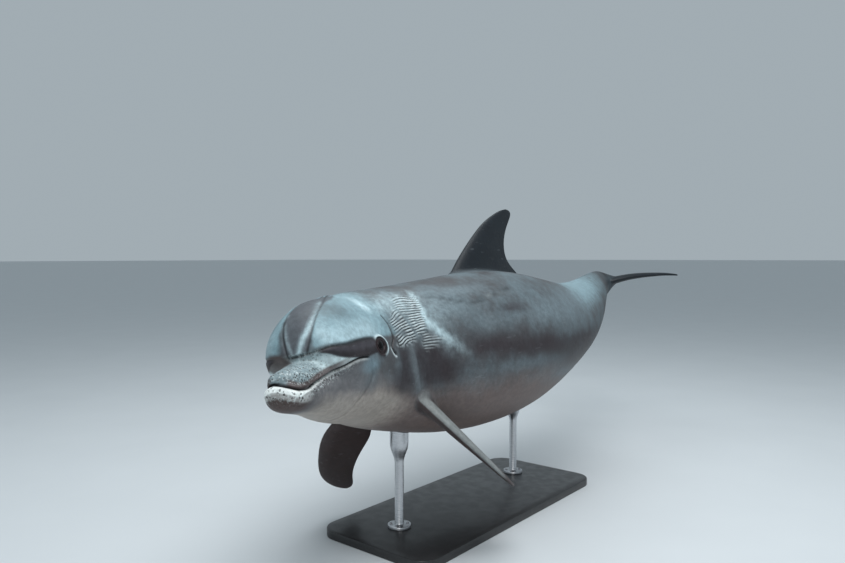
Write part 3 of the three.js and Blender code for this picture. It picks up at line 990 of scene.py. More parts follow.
def flipper(limb: int, root: Triple, span: Triple, chord: Triple) -> Fin:
    """A flipper from its root and the directions of its span and chord."""
    place = FinPlace(root, chord, span, tuple(np.cross(chord, span)))
    return Fin(FLIPPER, place, limb, lead_room=22, side_room=15, trail_room=20, clear=11, pull=0.75)


FLIPPERS = (
    flipper(1, (566, -121, -157), (0.493, -0.355, -0.794), (0.726, 0.672, 0.149)),
    flipper(2, (566, 121, -157), (0.305, 0.745, -0.593), (0.849, -0.504, -0.157)),
)
FLUKES = Flukes(
    FinShape(
        (
            (2, 2216, 2386, 17, 0), (30, 2236, 2398, 16.5, 4), (80, 2263, 2417, 14, 9),
            (140, 2302, 2429, 11, 8), (200, 2346, 2438, 8, 1), (250, 2388, 2447, 5.5, -8),
            (285, 2424, 2456, 3.5, -18), (302, 2450, 2450, 1.5, -25),
        )
    )
)


# ---- Eyes and lids ----

# The skin's lid value is 0 on the cheek, then this much at the lid's outer edge and over its width
LID_FROM, LID_SPAN = 0.2, 0.7

@dataclass(frozen=True)
class Eye:
    """The ball of an eye, and the lids that the skin makes round it."""

    centre: Triple = (331, 112, 4)
    radii: Triple = (18, 13, 16.5)
    opening: Pair = (39, 31)
    gap_at: Pair = (0.5, 1)
    # Lid profile from the opening inwards: share, half length, half height, lift off the cheek
    profile: Rows = (
        (0, 39, 31, 0),
        (0.14, 34.5, 27.6, 0.9),
        (0.26, 31, 24.9, 2.4),
        (0.38, 28, 22.6, 1.8),
        (0.5, 25.2, 20.3, 0.0),
        (0.62, 22.6, 18.0, 0.7),
        (0.78, 19.8, 15.6, 1.8),
        (0.9, 17.6, 13.6, 1.8),
        (1, 16.2, 12.2, 1.0),
    )
    rings: int = 20
    slit: Pair = (15.0, 11.2)
    tuck: float = 1.6
    brow: float = 1.3
    segments: int = 64
    stacks: int = 40

    def outline(self, form: BodyForm, side: int) -> Array:
        """The opening in the skin, as rows of grid row, grid column and turn."""
        turns = np.arange(120) / 120
        points = self.on_cheek(form, side, self.opening, turns, (0, 0), 0)
        return np.column_stack([form.grid_of(points), turns])

    def on_cheek(
        self, form: BodyForm, side: int, half: Pair, turns: Array, shift: Pair, lift: float | Array
    ) -> Array:
        """Points of an ellipse laid on the side of the head, lifted off it.

        Args:
            form: The body.
            side: 1 for the right side, -1 for the left.
            half: Half length and half height of the ellipse.
            turns: Places round it, 0 to 1.
            shift: How far back and up its middle is from the eye's.
            lift: How far its points stand off the head.

        Returns:
            The points.
        """
        angle = 2 * np.pi * turns
        x = self.centre[0] + shift[0] + half[0] * np.cos(angle)
        z = self.centre[2] + shift[1] + half[1] * np.sin(angle)
        low, wide = np.full(len(x), 60.0), np.full(len(x), 200.0)
        for _ in range(26):
            y = (low + wide) / 2
            within = form.distance(np.column_stack([x, y * side, z])) < 0
            low, wide = np.where(within, y, low), np.where(within, wide, y)
        return np.column_stack([x, (low + lift) * side, z])

    def on_ball(self, side: int, half: Pair, turns: Array, lift: float) -> Array:
        """Points of an ellipse laid on the ball over the gap of the lids, lifted off it."""
        angle = 2 * np.pi * turns
        x = self.gap_at[0] + half[0] * np.cos(angle)
        z = self.gap_at[1] + half[1] * np.sin(angle)
        a, b, c = self.radii
        y = b * np.sqrt(np.maximum(1 - (x / a) ** 2 - (z / c) ** 2, 0))
        points = np.column_stack([x, (y + lift) * side, z])
        return points + np.array(self.centre) * (1, side, 1)

    def grow(self, skin: SkinBuild, form: BodyForm, loop: Loop, side: int) -> None:
        """Add the lids to the skin.

        Args:
            skin: The skin so far.
            form: The body.
            loop: The rim of the opening.
            side: 1 for the right eye, -1 for the left.
        """
        table = np.array(self.profile)
        curve = Curve(table[:, 0], table[:, 1:])
        even = np.arange(len(loop.turns)) / len(loop.turns)
        drift = np.unwrap(loop.turns * 2 * np.pi) / (2 * np.pi) - even
        ring = loop.ring
        for k in range(1, self.rings + 1):
            t = k / self.rings
            turns = even + drift.mean() + (drift - drift.mean()) * (1 - t)
            long, high, lift = curve(np.array([t]))[0]
            up = np.sin(2 * np.pi * turns)
            back = np.cos(2 * np.pi * turns)
            raised = lift * (0.62 + 0.38 * np.abs(up))
            raised = raised + self.brow * t * np.maximum(up * 0.85 + back * 0.4, 0)
            shift = (self.gap_at[0] * t, self.gap_at[1] * t)
            points = self.on_cheek(form, side, (long, high), turns, shift, raised)
            outer = skin.add(points, lid=LID_FROM + LID_SPAN * t)
            skin.bridge(ring, outer, loop.forward)
            ring = outer
        last = even + drift.mean()
        for share, lift in ((1, 0.35), (0.9, -self.tuck)):
            half = (self.slit[0] * share, self.slit[1] * share)
            points = self.on_ball(side, half, last, lift)
            outer = skin.add(points, lid=1)
            skin.bridge(ring, outer, loop.forward)
            ring = outer
        middle = self.on_ball(side, (0, 0), np.zeros(1), -2 * self.tuck)
        skin.close(ring, int(skin.add(middle, lid=1)[0]), loop.forward)

    def ball(self, side: int) -> tuple[Array, Faces, Array]:
        """The ball's straight-body points, its faces and each point's outward gaze."""
        polar = np.pi * np.arange(1, self.stacks) / self.stacks
        turn = 2 * np.pi * np.arange(self.segments) / self.segments
        p, t = np.meshgrid(polar, turn, indexing="ij")
        out = np.cos(p) * side
        gaze = np.stack([np.sin(p) * np.cos(t), out, np.sin(p) * np.sin(t)], axis=-1)
        gaze = np.vstack([[[0, side, 0]], gaze.reshape(-1, 3), [[0, -side, 0]]])
        points = np.array(self.centre) * (1, side, 1) + gaze * self.radii
        wide, last = self.segments, len(gaze) - 1
        faces = [(0, 1 + k, 1 + (k + 1) % wide) for k in range(wide)]
        for i in range(self.stacks - 2):
            base = 1 + i * wide
            for k in range(wide):
                near, far = base + k, base + (k + 1) % wide
                faces.append((near, near + wide, far + wide, far))
        base = last - wide
        faces += [(base + (k + 1) % wide, base + k, last) for k in range(wide)]
        if side < 0:
            return points, faces, gaze
        return points, [f[::-1] for f in faces], gaze


EYE = Eye()


# ---- Features of the skin ----


@dataclass(frozen=True)
class Features:
    """Folds, slits and lines of the skin, and how it is marked, in straight-body coordinates.

    Paths are places, sides and heights, those of features on both sides given on the right.
    """

    mouth: Rows = (
        (-40, -62), (0, -63), (37, -63.5), (60, -60), (81, -54), (119, -43.5), (151, -33.5),
        (180, -24), (204, -19.5), (235, -18.5), (275, -19),
    )
    snout_middle: float = 13
    snout_half: float = 50
    snout_rise: float = 19
    mouth_end: Pair = (248, 262)
    crease: Rows = (
        (99, 0, 5), (102, 25, 7), (104, 36, 8), (110, 58, 11), (124, 76, 14.5), (135, 83, 14.5),
        (165, 96, 15), (204, 103, 19), (254, 108, 23), (298, 113, 25),
    )
    left_line: Rows = (
        (99, -27, 7), (101, -31, 16), (104, -38, 33), (117, -44, 59), (136, -46, 79),
        (156, -46, 93), (185, -44, 108), (223, -38, 123), (270, -26, 137), (310, -13, 147),
        (328, -7, 150),
    )
    right_line: Rows = (
        (99, 15, 7), (100, 18, 33), (107, 21, 53), (120, 23, 75), (136, 23, 92), (160, 22, 109),
        (200, 21, 124), (250, 18, 137), (300, 11, 146), (328, 7, 150),
    )
    inner_stripe: Rows = (
        (99, -11, 12), (101, -20, 32), (108, -30, 50), (122, -38, 69), (149, -41, 91),
        (185, -38, 109), (223, -32, 124),
    )
    far_stripe: Rows = ((99, 4, 12), (101, 9, 32), (108, 14, 50), (122, 17, 72), (149, 17, 98))
    # The dark stripe from beak to eye: place, height of its middle, half width
    stripe: Rows = (
        (104, 8, 2), (112, 8, 5), (124, 6, 9), (146, 1.5, 13), (167, 0, 15), (193, 0.5, 17.5),
        (250, 3, 20), (298, 6, 18), (340, 6, 16),
    )
    ear: Rows = (
        (396, 116, 80), (403, 126, 58), (402, 131, 38), (399, 134, 18), (386, 133, 4),
        (381, 132, -4), (386, 133, -14), (392, 134, -20),
    )
    ear_hole: Triple = (390, 134, -17)
    throat_fold: Rows = (
        (275, 104, -60), (262, 98, -78), (248, 90, -93), (227, 70, -112), (226, 35, -135),
        (232, 0, -143),
    )
    arm_fold: Rows = (
        (526, 160, 34), (506, 163, -12), (490, 162, -47), (492, 158, -72), (500, 154, -93),
        (512, 146, -120),
    )
    # A raised ridge behind the head, with a painted highlight along it
    arm_light: Rows = (
        (470, 156, 10), (467, 156, -30), (472, 154, -62), (486, 150, -92), (500, 146, -112),
    )
    cheek_fold: Rows = ((262, 108, -24), (270, 109, -38), (275, 106, -58))
    # The blowhole's crescent: place of its middle, half length, how far its ends lie forward
    blowhole: Triple = (340, 21, 12)
    axilla: Rows = ((606, 150, -150), (630, 162, -132), (652, 170, -108))
    # A painted highlight streak behind the wrinkles, down the shoulder
    streak: Rows = (
        (612, 118, 132), (598, 148, 100), (585, 169, 53), (621, 185, 15), (661, 196, -16),
        (711, 205, -51),
    )
    back_fold: Rows = (
        (640, -138, 124), (696, -154, 113), (740, -170, 99), (795, -182, 91), (850, -187, 94),
        (922, -185, 109), (1003, -180, 124),
    )
    first_wrinkles: Rows = (
        (523, 132), (615, 128), (570, 34), (475, 2), (419, 0), (417, 62),
    )
    second_wrinkles: Rows = ((541, 27), (624, 2), (610, -12), (529, -26))
    wrinkle_rise: Rows = (
        (405, -6), (428, 0), (466, 9.5), (507, 15), (545, 18), (577, 16.5), (620, 10),
    )
    wrinkle_length: float = 7.3
    # Soft clouds on the flanks, partly a paler tone and partly painted highlights: place, height,
    # half length, half height
    hazes: Rows = (
        (811, 8, 66, 36), (1150, 30, 190, 38), (1420, 62, 200, 60), (690, 84, 80, 40),
        (790, 132, 110, 16), (1050, -108, 230, 17), (1250, -158, 150, 30),
    )
    shades: Rows = (
        (954, 58, 70, 17), (790, -42, 110, 22), (1060, -60, 160, 23), (1390, -66, 160, 24),
        (398, -84, 26, 34),
    )
    rakes: tuple[Rows, ...] = (
        ((858, 187, 101), (940, 184, 117)),
        ((890, 186, 98), (985, 181, 116)),
        ((690, 120, 158), (742, 140, 146), (800, 150, 141)),
        ((1060, 190, 100), (1110, 205, 70), (1165, 214, 30)),
    )
    navel: Triple = (1130, 0, -252)
    vent: Pair = (1490, 1600)
    teats: Pair = (1540, 1575)
    belly_line: Rows = (
        (0, -60), (150, -70), (330, -88), (480, -110), (620, -128), (900, -140), (1300, -128),
        (1700, -114), (2200, -60),
    )
    band_line: Rows = ((700, -10), (760, -24), (1000, -60), (1331, -100), (1700, -92))

    def path(self, points: Array, rows: Rows, both: bool = True) -> Array:
        """Distance of points from a path, on both sides of the body or on one."""
        near = mirrored(points) if both else points
        box = np.array(rows, float)
        far = 60.0
        close = np.all((near > box.min(0) - far) & (near < box.max(0) + far), axis=1)
        result = np.full(len(points), far)
        result[close] = path_distance(near[close], box)
        return result

    def patch(self, points: Array, corners: Rows, soft: float) -> Array:
        """1 inside an outline in side view, 0 outside, softened at its edge."""
        flat = points[:, [0, 2]]
        outline = np.array(corners, float)
        apart = path_distance(flat, np.vstack([outline, outline[:1]]))
        return ease(-soft, soft, np.where(in_outline(flat, outline), apart, -apart))

    def mouth_height(self, points: Array) -> Array:
        """Height above the line of the mouth."""
        x, y, z = points.T
        side = curve_through(self.mouth)
        across = np.clip(np.abs(y - self.snout_middle) / self.snout_half, 0, 1) ** 1.5
        front = self.snout_rise * (1 - across) * (1 - ease(8, 40, x))
        slope = (side(x + 2) - side(x - 2)) / 4
        return (z - side(x) - front) / np.sqrt(1 + slope**2)

    def from_ear_hole(self, points: Array) -> Array:
        """Distance from the hole of the nearer ear."""
        return np.linalg.norm(mirrored(points) - self.ear_hole, axis=1)

    def mouth_share(self, points: Array) -> Array:
        """1 along the mouth, 0 past its corners."""
        return 1 - ease(*self.mouth_end, points[:, 0])

    def stripe_at(self, points: Array) -> tuple[Array, Array]:
        """Height of the eye stripe's middle, and its half width, over each point."""
        table = np.array(self.stripe)
        return tuple(Curve(table[:, 0], table[:, 1:])(points[:, 0]).T)

    def blow_slit(self, points: Array) -> tuple[Array, Array]:
        """Distance from the blowhole's crescent, and how far behind it."""
        x, y, z = points.T
        middle, half, bow = self.blowhole
        behind = x - middle + bow * (y / half) ** 2
        apart = np.hypot(behind, np.maximum(np.abs(y) - half, 0)) + np.maximum(90 - z, 0)
        return apart, behind

    def wrinkles(self, points: Array, noise: Noise) -> Array:
        """Stacked lengthwise folds behind the left eye and over the left shoulder, -1 to 1."""
        x, y, z = points.T
        result = np.zeros(len(points))
        near = (y < 0) & (x > 395) & (x < 650) & (z > -45) & (z < 150)
        points, x, y, z = points[near], x[near], y[near], z[near]
        drift = 6 * noise(points, (70, 60, 45)) + 2.1 * noise(points + 400, (22, 40, 20))
        phase = (z - curve_through(self.wrinkle_rise)(x) + drift) / self.wrinkle_length
        fold = np.cos(2 * np.pi * phase)
        fold = fold - 0.35 * np.cos(4 * np.pi * phase)
        ragged = points.copy()
        ragged[:, 0] += 15 * noise(points + 200, (60, 60, 8))
        first = self.patch(ragged, self.first_wrinkles, 13)
        second = 0.8 * self.patch(ragged, self.second_wrinkles, 10)
        apart = 1 - 0.85 * bump(x - 519 + 0.35 * z, 8)
        patchy = np.clip(0.85 + 0.9 * noise(points + 90, (26, 26, 20)), 0.12, 1.25)
        result[near] = fold * np.maximum(first, second) * apart * patchy
        return result

    def relief(self, points: Array, skin: SkinBuild, noise: Noise) -> Array:
        """How far the skin stands out from the smooth body, in millimetres.

        Args:
            points: Smooth straight-body points.
            skin: The skin the points belong to.
            noise: Lumpiness.

        Returns:
            A height for each point.
        """
        x = points[:, 0]
        calm = 0.35 * noise(points + 50, 90) + 0.22 * noise(points + 20, 37)
        height = calm * ease(20, 120, x) + self._head_relief(points)
        for path, depth, width in (
            (self.throat_fold, 1.4, 4.5),
            (self.arm_fold, 1.1, 3.5),
            (self.arm_light, -1.3, 16),
            (self.cheek_fold, 1.0, 3.5),
            (self.axilla, 1.5, 5),
        ):
            height -= depth * bump(self.path(points, path), width)
        height -= 1.4 * bump(self.path(points, self.back_fold, both=False), 7)
        height += 1.5 * self.wrinkles(points, noise) + self._belly_relief(points)
        body = np.clip(1 - skin.fin * 1.6, 0, 1) * (skin.lid == 0)
        fins = 0.25 * noise(points + 11, 60) * np.clip(skin.fin, 0, 1) * (2.2 - skin.fin)
        return height * body + fins

    def _head_relief(self, points: Array) -> Array:
        """Height of the lips, the lines of the melon, the blowhole and the ears."""
        x, y, _ = points.T
        lips = self.mouth_height(points)
        roll = 1.5 * bump(lips + 6.5, 4.5) + 1.1 * bump(lips - 5.5, 4)
        height = self.mouth_share(points) * (roll - 5.2 * bump(lips, 2.0))
        corner = ease(238, 256, x) * (1 - ease(256, 276, x))
        height += corner * (0.9 * bump(lips - 7, 6) + 0.9 * bump(lips + 7, 6))
        crease = self.path(points, self.crease)
        soft = 1 - 0.5 * ease(8, 25, y) * ease(150, 120, x)
        height -= soft * (2.4 - 1.2 * ease(125, 250, x)) * bump(crease, 2.8)
        height += 0.9 * bump(crease - 8, 5) * ease(120, 170, x)
        for line in (self.left_line, self.right_line):
            apart = self.path(points, line, both=False)
            height += 0.8 * bump(apart - 6, 4) - 1.6 * bump(apart, 2.4)
        apart, behind = self.blow_slit(points)
        height += np.where(behind < 0, 2.4 * bump(apart - 7, 6), 1.0 * bump(apart - 6, 5))
        height -= 6.5 * bump(apart, 2.3)
        ear = self.path(points, self.ear)
        height += np.where(y < 0, 1.0, 0.55) * (1.1 * bump(ear - 7, 5) - 2.8 * bump(ear, 2.6))
        return height - 2.4 * bump(self.from_ear_hole(points), 2.4)

    def _belly_relief(self, points: Array) -> Array:
        """Height of the navel, and of the slits of the vent and the teats."""
        x, y, z = points.T
        beside = np.abs(y)
        height = -2.6 * bump(np.linalg.norm(points - self.navel, axis=1), 7)
        start, end = self.vent
        slit = within(x, start - 12, start + 6, end - 6, end + 12)
        height += slit * (1.6 * bump(beside - 9, 6) - 4.2 * bump(beside, 2.6))
        start, end = self.teats
        teat = within(x, start - 6, start + 3, end - 3, end + 6)
        return ease(-60, -120, z) * (height - teat * 1.8 * bump(beside - 26, 2.6))

    def masks(self, points: Array, skin: SkinBuild, noise: Noise) -> dict[str, Array]:
        """Shares of the skin's markings.

        Args:
            points: Smooth straight-body points.
            skin: The skin the points belong to.
            noise: Uneven edges.

        Returns:
            For each marking, 0 to 1 at each point.
        """
        at = Site(self, points, noise)
        folds = self.wrinkles(points, noise)
        body = 1 - np.clip(skin.fin, 0, 1)
        flesh = {**self._beak_masks(at), **self._head_masks(at), **self._body_masks(at)}
        flesh["fine_light"] = self._fine_light(at, folds)
        around = (skin.lid - LID_FROM) / LID_SPAN
        beyond = ease(-14, 12, 0.8 * (at.x - EYE.centre[0]) + 0.7 * (at.z - 3)) * (skin.lid > 0)
        # painted highlight along the lids' rim on their upper rear side
        flesh["lid_ridge"] = beyond * bump(around - 0.25, 0.13)
        # painted shade in the groove inside the lids' rim, on their upper rear side
        lid_groove_shade = beyond * bump(around - 0.5, 0.17)
        lid = (skin.lid > 0) * ease(1.6, 1.3, around) * ease(0.24, 0.36, around)
        everywhere = {"lid": lid, **self._limb_masks(at, skin)}
        # painted shade in the mouth, slits, creases and folds, and in the lid groove
        everywhere["dark"] = np.maximum(self._dark(at, folds) * (skin.lid == 0), lid_groove_shade)
        shown = {name: np.clip(values, 0, 1) * body for name, values in flesh.items()}
        return shown | {name: np.clip(values, 0, 1) for name, values in everywhere.items()}

    def _beak_masks(self, at: "Site") -> dict[str, Array]:
        """Markings of the beak, the chin and the lips."""
        x, z, lips, mouth, uneven = at.x, at.z, at.lips, at.mouth, at.uneven
        chin = ease(66, 24, x + 0.5 * uneven) * ease(-15, -21, lips + 0.2 * uneven)
        beak = ease(0, 5, lips) * ease(6, -2, at.above) * ease(160, 118, x + 0.4 * uneven)
        wedge = ease(0, 4, lips) * ease(2, -2, z - at.middle + at.half)
        wedge = wedge * within(x, 88, 125, 205, 262) * ease(6, -14, z + 0.14 * (x - 120))
        lip_width = 4.5 + 8.5 * (1 - ease(5, 34, x))
        lip_low = mouth * ease(-0.5, -1.8, lips) * ease(-lip_width - 5, -lip_width, lips)
        lip_low = lip_low * (1 - 0.45 * ease(22, 62, x)) * (1 - 0.5 * ease(90, 190, x))
        apron = 0.34 * ease(-30, -23, lips + 0.3 * uneven) * ease(-4, -10, lips)
        lip_high = mouth * ease(18, 11, lips + 0.25 * uneven) * ease(-0.5, 0.8, lips)
        # painted shade where the melon meets the beak, mostly on the right side
        nose = np.linalg.norm((at.points - (112, 52, -1)) / (52, 46, 22), axis=1)
        nose = ease(1.25, 0.7, nose + 0.02 * uneven)
        crust = beak * (1 - 0.75 * ease(40, 130, x)) * ease(4, 12, lips) * (1 - nose)
        edging = bump((lips + lip_width + 5) / (6 + 0.6 * lip_width), 1.0) * ease(230, 120, x)
        crust = np.maximum(crust * (1 - at.stripe), edging * mouth * (lips < 0))
        return {
            "chin": chin,
            "beak": beak,
            "wedge": wedge,
            "nose": nose,
            "crust": crust,
            "fleck": np.maximum(crust, 0.45 * chin),
            "lip_low": np.maximum(lip_low * ease(256, 215, x), apron * mouth * ease(62, 30, x)),
            "lip_high": lip_high * ease(12, 24, at.wide) * ease(200, 130, x),
        }

    def _head_masks(self, at: "Site") -> dict[str, Array]:
        """Markings of the melon, the cheeks, the throat and round the eyes; the pale cheek and brow
        are brightened further as painted highlights.
        """
        x, y, z, wide, uneven, above = at.x, at.y, at.z, at.wide, at.uneven, at.above
        throat = ease(-76, -116, z + uneven + 0.3 * np.clip(x - 330, 0, 200))
        eye = ease(1.15, 0.85, np.hypot((x - EYE.centre[0]) / 34, (z - 3) / 25))
        # pale cheek above the stripe and pale brow: lighter skin, brightened further as painted
        # highlight
        pale = ease(1, 9, above) * ease(80, 34, z + 0.3 * uneven - 0.08 * (x - 150))
        brow = ease(26, 38, np.abs(y + 12 * (y < 0)) + 0.3 * (z - 60) * (z > 60))
        ridge = -12 * ease(0, 60, z) * ease(330, 250, x)
        return {
            "jaw": ease(-1, -9, at.lips) * ease(300, 235, x - 0.25 * z),
            "throat": throat * within(x, 50, 110, 390, 540),
            "brow": brow * ease(1, 12, above) * within(x, 94, 106, 360, 470),
            "cloud": cloud_at(x, z + 0.5 * uneven, (205, 98, 62, 30)) * (wide > 40),
            "melon": ease(34, 28, np.abs(y - ridge)) * ease(340, 300, x) * ease(4, 12, z),
            "cheek": ease(1.4, 0.3, np.hypot((x - 262) / 48, (z + 37) / 18)),
            "pale": pale * within(x, 104, 122, 300, 372) * ease(34, 50, wide),
            "stripe": np.maximum(at.stripe, eye),
            "stripe_light": at.stripe * bump((z - at.middle - 0.3 * at.half) / at.half, 0.42),
        }

    def _body_masks(self, at: "Site") -> dict[str, Array]:
        """Broad markings of the trunk and the tail stock, among them painted highlights and painted
        shade.
        """
        x, z, uneven = at.x, at.z, at.uneven
        belly_line = curve_through(self.belly_line)(x)
        band_line = curve_through(self.band_line)(x)
        arm = within(z, -150, -90, -25 - uneven, 30 - uneven)
        return {
            "belly": ease(45, -50, z - belly_line + 1.5 * uneven),
            # a dark band along the flank, partly its own colour and partly painted shade
            "band": bump((z - band_line + uneven) / 48, 1.0) * within(x, 620, 780, 1500, 1900),
            # painted shade on the neck behind the head, above the flipper
            "behind": arm * within(x, 392, 420, 600, 760),
            "light": self._light(at),
            "arm_light": bump(self.path(at.points, self.arm_light), 17),
            # painted highlight on the top of the tail stock
            "stock": within(x, 1380, 1640, 1820, 2160) * ease(-10, 80, z + uneven),
            # paler tone and painted highlights in soft clouds on the flanks
            "haze": sum(cloud_at(x, z + uneven, row) for row in self.hazes),
            "shade": sum(cloud_at(x, z + uneven, row) for row in self.shades),
        }

    def _light(self, at: "Site") -> Array:
        """Light lines on the melon, and painted highlights over the head, the nape and the
        shoulder, with a painted highlight streak behind the wrinkles.
        """
        x, z = at.x, at.z
        inside = bump(self.path(at.points, self.inner_stripe, both=False), 6)
        far = 0.35 * bump(self.path(at.points, self.far_stripe, both=False), 4)
        streak = self.path(at.points, self.streak) + 0.5 * at.uneven
        streak = (0.85 * bump(streak, 12) + 0.4 * bump(streak, 34)) * ease(740, 585, x)
        patches = [
            inside * (1 - 0.75 * ease(45, 100, z)),
            far,
            cloud_at(x, z + 0.3 * (x - 356), (356, 112, 20, 19)) * (at.wide < 104),
            0.5 * cloud_at(x, z, (500, 112, 115, 34)),
            0.65 * streak,
            0.25 * cloud_at(x, z, (575, 75, 90, 60)),
        ]
        return np.maximum.reduce(patches)

    def _fine_light(self, at: "Site", folds: Array) -> Array:
        """Pale scars, and painted highlights on the crests of the wrinkles and on the rim of the
        ear.
        """
        ear = bump(self.path(at.points, self.ear) - 5.6, 2.8) * np.where(at.y < 0, 1, 0.5)
        ear = ear * ease(2, -7, at.z) * ease(381, 376, at.x + 0.6 * at.z)
        rakes = sum(bump(self.path(at.points, rake), 2.4) for rake in self.rakes)
        return np.maximum.reduce([rakes * 0.6, np.clip(folds, 0, 1) * 0.95, ear])

    def _dark(self, at: "Site", folds: Array) -> Array:
        """Painted shade in the mouth, the slits, the creases and the folds."""
        points, x, y, z = at.points, at.x, at.y, at.z
        crease = 1 - 0.85 * ease(8, 25, y) * ease(150, 120, x)
        start, end = self.vent
        ear_width = 2.6 + 1.5 * bump(z - 22, 34) + 1.5 * bump(z + 13, 11)
        ear = bump(self.path(points, self.ear) / ear_width, 1.0)
        lines = [
            at.mouth * bump(at.lips, 2.8 + 0.8 * ease(70, 10, x)),
            0.9 * crease * bump(self.path(points, self.crease), 3.4),
            0.85 * bump(self.path(points, self.left_line, both=False), 2.2),
            0.85 * bump(self.path(points, self.right_line, both=False), 2.2),
            bump(self.blow_slit(points)[0], 3.0),
            ear * np.where(y < 0, 1, 0.5),
            bump(self.from_ear_hole(points), 5.5),
            np.clip(-1.15 * folds, 0, 1),
            bump(y, 3) * ease(-60, -120, z) * within(x, start - 8, start + 8, end - 8, end + 8),
            0.3 * bump(self.path(points, self.throat_fold), 4),
            0.3 * bump(self.path(points, self.arm_fold), 3),
            0.5 * bump(self.path(points, self.back_fold, both=False), 5),
        ]
        return np.maximum.reduce(lines)

    def _limb_masks(self, at: "Site", skin: SkinBuild) -> dict[str, Array]:
        """Markings of the dorsal fin, the flukes and the flippers, with a painted highlight on the
        left flipper's upper leading edge.
        """
        fins = np.clip(skin.fin, 0, 1)
        tail = 0.6 * ease(2060, 2230, at.x)
        arm = FLIPPERS[0].place
        ahead = (at.points - arm.root) @ unit(np.array(arm.chord))
        through = (at.points - arm.root) @ unit(np.array(arm.through))
        # painted highlight: the left flipper's upper leading edge near its root, lighter as if lit
        # from above
        edge = ease(5.5, 1.5, through) * ease(-8, -40, ahead + 5 * skin.fin)
        return {
            # the dorsal fin, the flukes and the tail's end: their own dark grey, deepened to near
            # black as painted shade
            "fin": (skin.limb == 0) * np.maximum(fins, tail),
            "flipper": (skin.limb > 0) * fins,
            "flipper_light": (skin.limb == 1) * fins * edge,
        }

    def detail(self, points: Array) -> Array:
        """How finely the grid is split at points, 0 to 3."""
        x, y, z = points.T
        level = np.where(x < 1890, 1, 0)
        lips = np.abs(self.mouth_height(points))
        apart, _ = self.blow_slit(points)
        ear = self.path(points, self.ear)
        crease = self.path(points, self.crease)
        left = self.path(points, self.left_line, both=False)
        right = self.path(points, self.right_line, both=False)
        eye = np.hypot((x - 331) / 42, (z - 4) / 34)
        folds = np.where(y < 0, self.patch(points, self.first_wrinkles, 4), 0)
        folds = np.maximum(folds, np.where(y < 0, self.patch(points, self.second_wrinkles, 4), 0))
        fold = self.path(points, self.throat_fold)
        middle, half = self.stripe_at(points)
        stripe = (np.abs(z - middle) < half + 9) & (x > 92) & (x < 320)
        some = (lips < 17) & (x < 285) | (apart < 26) | (ear < 14) | (crease < 14) | (left < 8)
        some |= (right < 8) | (eye < 1.5) | (folds > 0) | (fold < 9) | stripe
        near_root = (np.abs(x - 560) < 100) & (z < -60) & (np.abs(y) > 40)
        level = np.where(some | near_root, 2, level)
        fine = (lips < 6.5) & (((x > 92) & (x < 268)) | (x < 12))
        fine |= (apart < 11) | (eye < 1) | (folds > 0.5) | ((ear < 5) & (y < 0))
        return np.where(fine, 3, level)


class Site:
    """Points of the smooth skin, and what its markings are measured from."""

    def __init__(self, features: Features, points: Array, noise: Noise) -> None:
        """Measure the points.

        Args:
            features: The skin's features.
            points: Smooth straight-body points.
            noise: Uneven edges.
        """
        self.points = points
        self.x, self.y, self.z = points.T
        self.wide = np.abs(self.y)
        self.uneven = 6 * noise(points + 7, 45) + 3 * noise(points + 70, 16)
        self.lips = features.mouth_height(points)
        self.mouth = features.mouth_share(points)
        self.middle, self.half = features.stripe_at(points)
        self.above = self.z - self.middle - self.half
        stripe = ease(1.12, 0.86, np.abs(self.z - self.middle + 0.15 * self.uneven) / self.half)
        self.stripe = stripe * within(self.x, 104, 112, 306, 330) * ease(30, 50, self.wide)


# ---- Finishes ----


class Slot(Enum):
    """The record's material slots."""

    FLANK = "skin_flank"
    EYE = "eye"
    PLATE = "stand_plate"
    ROD = "stand_rod"


